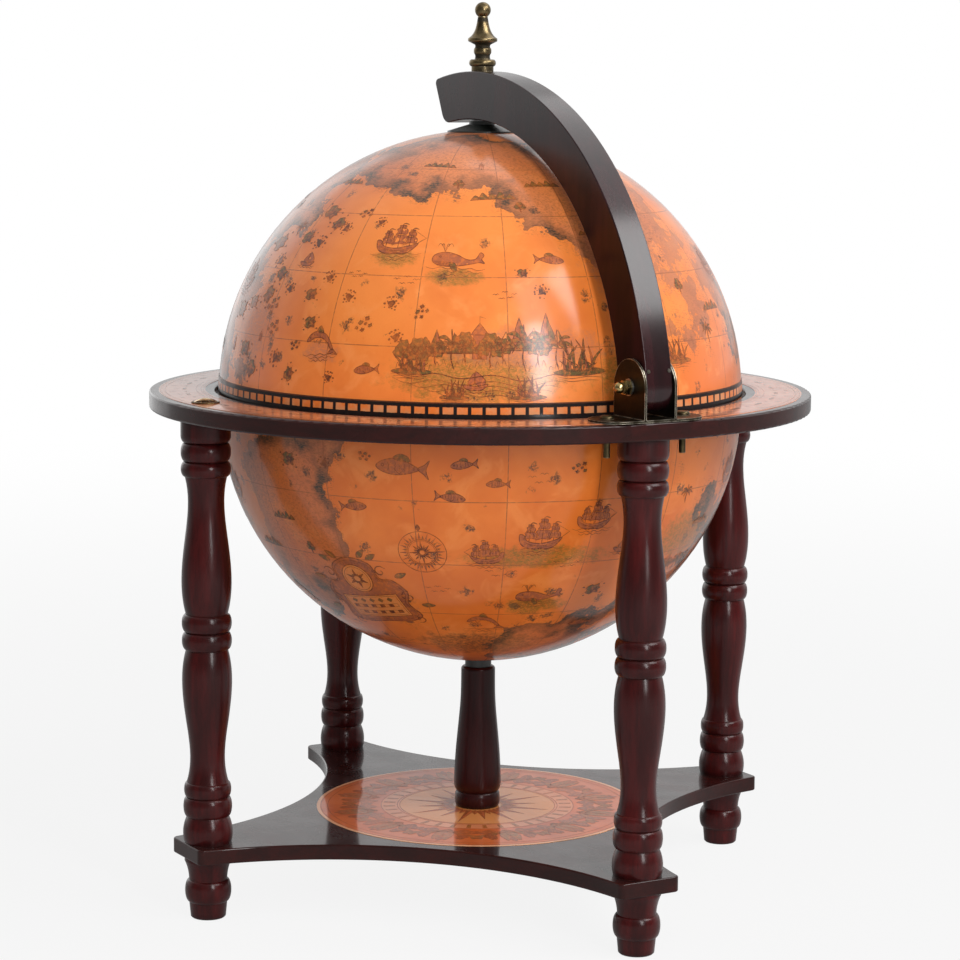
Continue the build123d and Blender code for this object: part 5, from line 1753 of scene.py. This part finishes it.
class GLOBEBAR_OT_arm(bpy.types.Operator):
    """Lacquers the meridian arm in satin charcoal brown."""

    bl_idname = "globe_bar.arm"
    bl_label = "Meridian arm"

    def execute(self, context):
        def thin(b):
            side = abs(b.add("TexCoord").normal.part("y"))
            return 1.0 - side.ramp(0.6, 0.9) * b.point.part("z").ramp(0.36, 0.54, 0.92, 0.0)

        wood, run = settings(context, "wood"), (55.0, 90.0, 9.0)
        made = lacquer("arm_lacquer", "arm", wood, run, 0.2, 0.0011, 0.4, 0.03, 1.5, thin)
        fit_finish(made, "meridian_arm")
        return {"FINISHED"}


def aged_brass(
    name, worn, aged, black, recess=0.004, wear_width=0.0009, smooth=0.24, dull=0.5, grooves=()
):
    """Brass with a dark patina in its hollows and bright rubbed edges. grooves are dark heights."""
    b = Finish(name)
    edge = worn_edges(b, width=wear_width, patch_scale=160.0).edge
    hollow = recesses(b, depth=recess).recess
    # Painted shade: bands at the grooves' heights are darkened like deep gaps between discs.
    for low, high in grooves:
        hollow = b.math("MAXIMUM", hollow, b.point.part("z").between(low, high, NECK_SOFT))
    blotch = b.point.noise(130.0, 4.0, 0.65).ramp(0.36, 0.66)
    tone = b.mix(hollow * 0.92, b.mix(blotch * 0.55, aged, black), black)
    skin = varnish(b, scale=90.0, ripple_scale=700.0, smooth=smooth, dull=dull)
    return b.shade(
        base_color=b.mix(edge, tone, worn),
        metallic=1.0 - hollow * 0.35,
        roughness=skin.roughness + hollow * 0.25 - edge * 0.1,
        normal=b.bump(skin.height, 0.00006, 0.4),
    )


def plated_steel(name, tone):
    """Plated or bare steel, finely brushed round its axis and slightly clouded."""
    b = Finish(name)
    clouds = b.point.noise(140.0, 3.0, 0.6).ramp(0.3, 0.7, 0.0, 0.35)
    scratches = (b.point * (1.0, 1.0, 9.0)).noise(900.0, 2.0, 0.6)
    paint = b.mix(clouds, tone, (0.34, 0.33, 0.3))
    return b.shade(
        # Painted shade: the steel is darkened in its hollows.
        base_color=b.mix(recesses(b, depth=0.002).recess * 0.7, paint, (0.08, 0.075, 0.07)),
        metallic=1.0,
        roughness=scratches.ramp(0.3, 0.7, 0.22, 0.42),
        normal=b.bump(scratches, 0.00002, 0.3),
    )


def moulded(name, tone, grey, rough=(0.32, 0.5), coat=0.0):
    """Moulded plastic with a fine spark texture and scuffed edges."""
    b = Finish(name)
    fine = b.point.noise(1100.0, 2.0)
    edge = worn_edges(b, width=0.0006, patch_scale=200.0).edge
    cloud = b.point.noise(70.0, 4.0, 0.6).ramp(0.35, 0.7, 0.0, 0.25)
    return b.shade(
        base_color=b.mix(cloud + edge * 0.35, tone, grey),
        roughness=fine.ramp(0.3, 0.7, *rough),
        normal=b.bump(fine, 0.00003, 0.35),
        coat_weight=coat,
        coat_roughness=0.15,
    )


class GLOBEBAR_OT_fittings(bpy.types.Operator):
    """Finishes the brass hinge and finial, the steel fasteners and the plastic pole fittings."""

    bl_idname = "globe_bar.fittings"
    bl_label = "Fittings"

    def execute(self, context):
        look = settings(context, "metal")
        worn, aged, black, bright = look.brass_worn, look.brass_aged, look.brass_black, look.bright
        # Worn, aged and dark tone, recess depth, edge width, smooth and dull roughness, grooves.
        finial = (worn, (0.25, 0.185, 0.095), black, 0.009, 0.0011, 0.22, 0.42, FINIAL_NECKS)
        plate_tones = ((0.76, 0.7, 0.56), (0.042, 0.031, 0.018), (0.016, 0.012, 0.008))
        for node, name, values in (
            ("bracket_bolts", "antique_brass", (worn, aged, black)),
            ("finial", "finial_brass", finial),
            ("hinge_bracket", "bracket_brass", (*plate_tones, 0.004, 0.0011, 0.34, 0.56)),
            ("hinge_acorn_nut", "bright_brass", (bright, bright, aged, 0.0015, 0.0005, 0.16, 0.3)),
            ("compass_case", "compass_brass", (bright, (0.16, 0.09, 0.035), black, 0.0015, 0.0003)),
        ):
            fit_finish(aged_brass(name, *values), node)
        fit_finish(
            plated_steel("zinc_steel", look.zinc),
            *("leg_screws", "ring_screws", "column_bolt", "column_washers", "column_nut"),
            *("bracket_nuts", "hinge_pin", "hinge_washers", "compass_pivot"),
            *("pole_rod", "pole_washers", "pole_nut"),
        )
        fit_finish(plated_steel("nail_steel", (0.17, 0.145, 0.11)), "arm_nails")
        dark = moulded("black_plastic", look.black, (0.06, 0.062, 0.055), coat=0.4)
        fit_finish(dark, "neck_bush", "pole_cap")
        pale = moulded("washer_plastic", look.nylon, (0.5, 0.46, 0.38), rough=(0.4, 0.6))
        fit_finish(pale, "turntable_washer", "arm_bush", "dome_hub")
        return {"FINISHED"}


def compass_card(radius):
    """Circles, ticks and star of the compass card, in mm."""
    d = Drawing()
    for part, weight in ((0.94, 1.0), (0.74, 0.7)):
        d.ring(0, 0, radius * part, radius * part, weight, 60)
    for i in range(36):
        tick = [(0, radius * (0.74 if i % 3 else 0.66)), (0, radius * 0.94)]
        d.line(turned(tick, 10 * i), 0.8, taper=False)
    d.star(8, (0.45, 0.9, 0.5), (radius * 0.62, radius * 0.4), 0.7)
    return d


class GLOBEBAR_OT_compass(bpy.types.Operator):
    """Finishes the small compass in the ring: card, needle and domed glass."""

    bl_idname = "globe_bar.compass"
    bl_label = "Compass"

    def execute(self, context):
        card = flat_paper("dial_card", (0.62, 0.5, 0.32), (0.4, 0.27, 0.13), (0.7, 0.6, 0.42))
        fit_finish(card, "compass_dial")

        b = Finish("needle_steel")
        along = (b.point - tuple(DIAL_MIDDLE)).part("x")
        paint = b.mix(along.ramp(-0.0001, 0.0001), (0.02, 0.025, 0.05), (0.5, 0.03, 0.02))
        scratch = b.point.noise(1500.0, 2.0)
        needle = b.shade(
            base_color=b.mix(scratch.ramp(0.62, 0.75, 0.0, 0.4), paint, (0.5, 0.5, 0.5)),
            roughness=scratch.ramp(0.3, 0.7, 0.25, 0.4),
            metallic=0.3,
            coat_weight=0.6,
        )
        fit_finish(needle, "compass_needle")

        b = Finish("compass_lens")
        smear = b.point.noise(240.0, 3.0, 0.6)
        lens = b.shade(
            base_color=b.mix(smear.ramp(0.4, 0.7), (0.8, 0.64, 0.46), (0.66, 0.5, 0.34)),
            roughness=smear.ramp(0.35, 0.7, 0.02, 0.12),
            transmission_weight=1.0,
            ior=1.1,
        )
        fit_finish(lens, "compass_glass")

        marks = Marks(CARD_STROKE, CARD_LIFT, 2.0)
        radius = (DIAL_HIGH.x - DIAL_LOW.x) / 2 / MM
        marks.draw(compass_card(radius), on_flat(DIAL_HIGH.z, 90, DIAL_MIDDLE.x, DIAL_MIDDLE.y))
        finishes = ink_finishes(context, "card", (0.5, 0.38, 0.22))
        marks.make("compass_scale", "stand", "dial_card", finishes)
        return {"FINISHED"}


class GLOBEBAR_OT_bar(bpy.types.Operator):
    """Finishes the tray, hoops, hubs and lined floor inside the globe."""

    bl_idname = "globe_bar.bar"
    bl_label = "Bar inside"

    def execute(self, context):
        wood = settings(context, "wood")
        tray = lacquer("tray_lacquer", "tray", wood, (10.0, 70.0, 70.0), 0.16, 0.001, 0.35, 0.1)
        fit_finish(tray, "bar_tray")

        b = Finish("hoop_ply")
        figure = wood_figure(b, run=(24.0, 24.0, 300.0), dark=wood.ply_dark, red=wood.ply_pale)
        layer = abs((b.point.part("z") / PLY_LAYER).fract() - 0.5)
        tone = b.mix(layer.ramp(0.4, 0.47), figure.colour, wood.ply_dark)
        edge = worn_edges(b, width=0.0008, patch_scale=120.0).edge
        ply = b.shade(
            base_color=b.mix(edge * 0.4, tone, wood.ply_pale),
            roughness=figure.pores.ramp(0.0, 1.0, 0.5, 0.72),
            normal=b.bump(figure.pores, -0.00008, 0.4),
        )
        fit_finish(ply, "bowl_rim", "bowl_hub", "tray_ledge", "dome_rim")

        b = Finish("liner_felt")
        nap = b.point.noise(1600.0, 3.0, 0.7)
        brushed = b.point.noise(22.0, 4.0, 0.6, 0.6).ramp(0.35, 0.65)
        paint = b.mix(brushed, (0.11, 0.014, 0.014), (0.2, 0.032, 0.028))
        felt = b.shade(
            base_color=b.mix(nap.ramp(0.5, 0.8, 0.0, 0.5), paint, (0.32, 0.08, 0.07)),
            roughness=0.95,
            normal=b.bump(nap, 0.0003, 0.6),
            sheen_weight=0.4,
            sheen_roughness=0.4,
        )
        fit_finish(felt, "bowl_floor")
        return {"FINISHED"}


WHITE = (1, 1, 1, 1)
LAMP_AIM_Z = 0.3
FLOOR_GAP = 0.0003
FLOOR_HALF = 14
# Lamp, bearing, height angle, distance, width, height, whether gloss shows it, whether it lights.
LAMPS = (
    ("key", -33, 33, 2.6, 2.5, 2.5, False, True),
    ("side", 35, 41, 2.4, 1.4, 1.15, True, True),
    ("strip", -4, 18, 2.2, 0.3, 1.2, True, True),
    ("tall", -3, 30, 2.2, 0.45, 1.9, True, True),
    ("sheen", 102, 56, 2.4, 2.4, 1.5, True, False),
    ("fill", -30, -3, 3.2, 1.6, 0.24, False, True),
    ("haze", 183, 10, 2.4, 1.5, 1.9, True, False),
)


class GLOBEBAR_OT_stage(bpy.types.Operator):
    """Sets up the floor, the soft lamps, the pale surroundings and the camera."""

    bl_idname = "globe_bar.stage"
    bl_label = "Stage"

    def lamp(self, name, watts, bearing, height, far, wide, tall, mirrored, lights):
        """A soft area lamp that looks at the globe from a bearing and height angle."""
        data = bpy.data.lights.new(name, "AREA")
        data.shape, data.size, data.size_y, data.energy = "RECTANGLE", wide, tall, watts
        lamp = link(name, data)
        aim = aim_vector(bearing, height)
        lamp.location = aim * far + Vector((0, 0, LAMP_AIM_Z))
        lamp.rotation_euler = aim.to_track_quat("Z", "Y").to_euler()
        lamp.visible_camera = False
        lamp.visible_glossy = mirrored
        lamp.visible_diffuse = lights

    def bare_tree(self, owner):
        """Bench on an emptied node tree of a material or a world."""
        owner.use_nodes = True
        owner.node_tree.nodes.clear()
        return Bench(owner.node_tree)

    def floor(self, look):
        """A level floor whose far side fades into the pale surroundings."""
        mesh = bpy.data.meshes.new("studio_floor")
        shape = bmesh.new()
        bmesh.ops.create_grid(shape, x_segments=24, y_segments=24, size=FLOOR_HALF)
        shape.to_mesh(mesh)
        shape.free()
        floor = link("studio_floor", mesh)
        floor.location.z = part_box[0][2] - FLOOR_GAP
        made = bpy.data.materials.new("pale_floor")
        b = self.bare_tree(made)
        point = b.add("TexCoord").object
        shaded = tuple(0.97 * c for c in look.floor)
        tone = b.mix(point.noise(3.0).ramp(0.3, 0.7, 0.0, 0.5), look.floor, shaded)
        diffuse = b.add("BsdfDiffuse", {"Color": tone}).bsdf
        glow = b.add("Emission", {"Color": WHITE, "Strength": 1.0}).emission
        path = b.add("LightPath")
        seen = b.math("MAXIMUM", path.is_camera_ray, path.is_transmission_ray)
        seen = b.math("MAXIMUM", seen, path.is_glossy_ray * 0.2)
        seen = seen * b.vector("LENGTH", point).ramp(0.35, 2.4, 0.88, 1.0)
        blend = b.add("MixShader", {0: seen, 1: diffuse, 2: glow}).shader
        b.add("OutputMaterial", {"Surface": blend})
        mesh.materials.append(made)
        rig.stage(floor)

    def surroundings(self, look):
        """White all round for the eye, a plain fill for light and a dim near side for gloss."""
        world = bpy.data.worlds.new("pale_surroundings")
        bpy.context.scene.world = world
        b = self.bare_tree(world)
        path = b.add("LightPath")
        away = Vector(look.camera_aim) - Vector(look.camera_place)
        away.z = 0
        way = b.add("TexCoord").generated
        facing = b.vector("DOT_PRODUCT", way, tuple(away.normalized()))
        level = facing.ramp(-0.25, 0.45, look.front_gloss, look.back_gloss)
        gloss = b.math("MAXIMUM", level, way.part("z").ramp(0.2, 1.0, 0.0, 0.45))
        seen = b.math("MAXIMUM", path.is_camera_ray, path.is_transmission_ray)
        shown = b.choose(seen, b.choose(path.is_glossy_ray, look.sky, gloss), 1.0)
        ground = b.add("Background", {"Color": WHITE, "Strength": shown}).background
        b.add("OutputWorld", {"Surface": ground})

    def camera(self, look):
        """A long-lens camera, leaning by its small roll."""
        data = bpy.data.cameras.new("studio_camera")
        data.lens, data.sensor_width = look.lens, 36
        camera = link("studio_camera", data)
        place, aim = Vector(look.camera_place), Vector(look.camera_aim)
        ahead = (aim - place).normalized()
        right = ahead.cross(Vector((0, 0, 1))).normalized()
        up = right.cross(ahead)
        c, s = cos(look.camera_roll), sin(look.camera_roll)
        matrix = Matrix((right * c - up * s, right * s + up * c, -ahead)).transposed().to_4x4()
        matrix.translation = place
        camera.matrix_world = matrix
        bpy.context.scene.camera = camera

    def execute(self, context):
        look = settings(context, "stage")
        self.floor(look)
        self.surroundings(look)
        for name, *values in LAMPS:
            self.lamp(name + "_lamp", getattr(look, name), *values)
        self.camera(look)
        context.scene.view_settings.view_transform = "Standard"
        return {"FINISHED"}


OPERATORS = (
    GLOBEBAR_OT_globe_paper,
    GLOBEBAR_OT_globe_marks,
    GLOBEBAR_OT_equator_band,
    GLOBEBAR_OT_ring,
    GLOBEBAR_OT_medallion,
    GLOBEBAR_OT_legs,
    GLOBEBAR_OT_arm,
    GLOBEBAR_OT_fittings,
    GLOBEBAR_OT_compass,
    GLOBEBAR_OT_bar,
    GLOBEBAR_OT_stage,
)


class GLOBEBAR_PT_panel(bpy.types.Panel):
    """Settings and pieces of the globe bar."""

    bl_idname = "GLOBEBAR_PT_panel"
    bl_label = "Globe Bar"
    bl_space_type = "VIEW_3D"
    bl_region_type = "UI"
    bl_category = "Globe Bar"

    def draw(self, context):
        for operator in OPERATORS:
            self.layout.operator(operator.bl_idname)
        for name, group in SETTING_GROUPS.items():
            box = self.layout.box()
            box.label(text=group.__doc__.rstrip("."))
            for prop in group.__annotations__:
                box.prop(settings(context, name), prop)


def register():
    """Registers the settings, the operators and the panel."""
    for name, group in SETTING_GROUPS.items():
        bpy.utils.register_class(group)
        setattr(bpy.types.Scene, "globe_bar_" + name, PointerProperty(type=group))
    for made in (*OPERATORS, GLOBEBAR_PT_panel):
        bpy.utils.register_class(made)


def unregister():
    """Takes them away again."""
    for made in (GLOBEBAR_PT_panel, *reversed(OPERATORS)):
        bpy.utils.unregister_class(made)
    for name, group in SETTING_GROUPS.items():
        delattr(bpy.types.Scene, "globe_bar_" + name)
        bpy.utils.unregister_class(group)


def main():
    """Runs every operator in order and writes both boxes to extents.json."""
    register()
    for operator in OPERATORS:
        group, name = operator.bl_idname.split(".")
        getattr(getattr(bpy.ops, group), name)()
    boxes = {
        name: [[float(v) for v in corner] for corner in box]
        for name, box in (("part", part_box), ("model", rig.bounds()))
    }
    with open("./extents.json", "w") as out:
        json.dump(boxes, out)


if __name__ == "__main__":
    main()
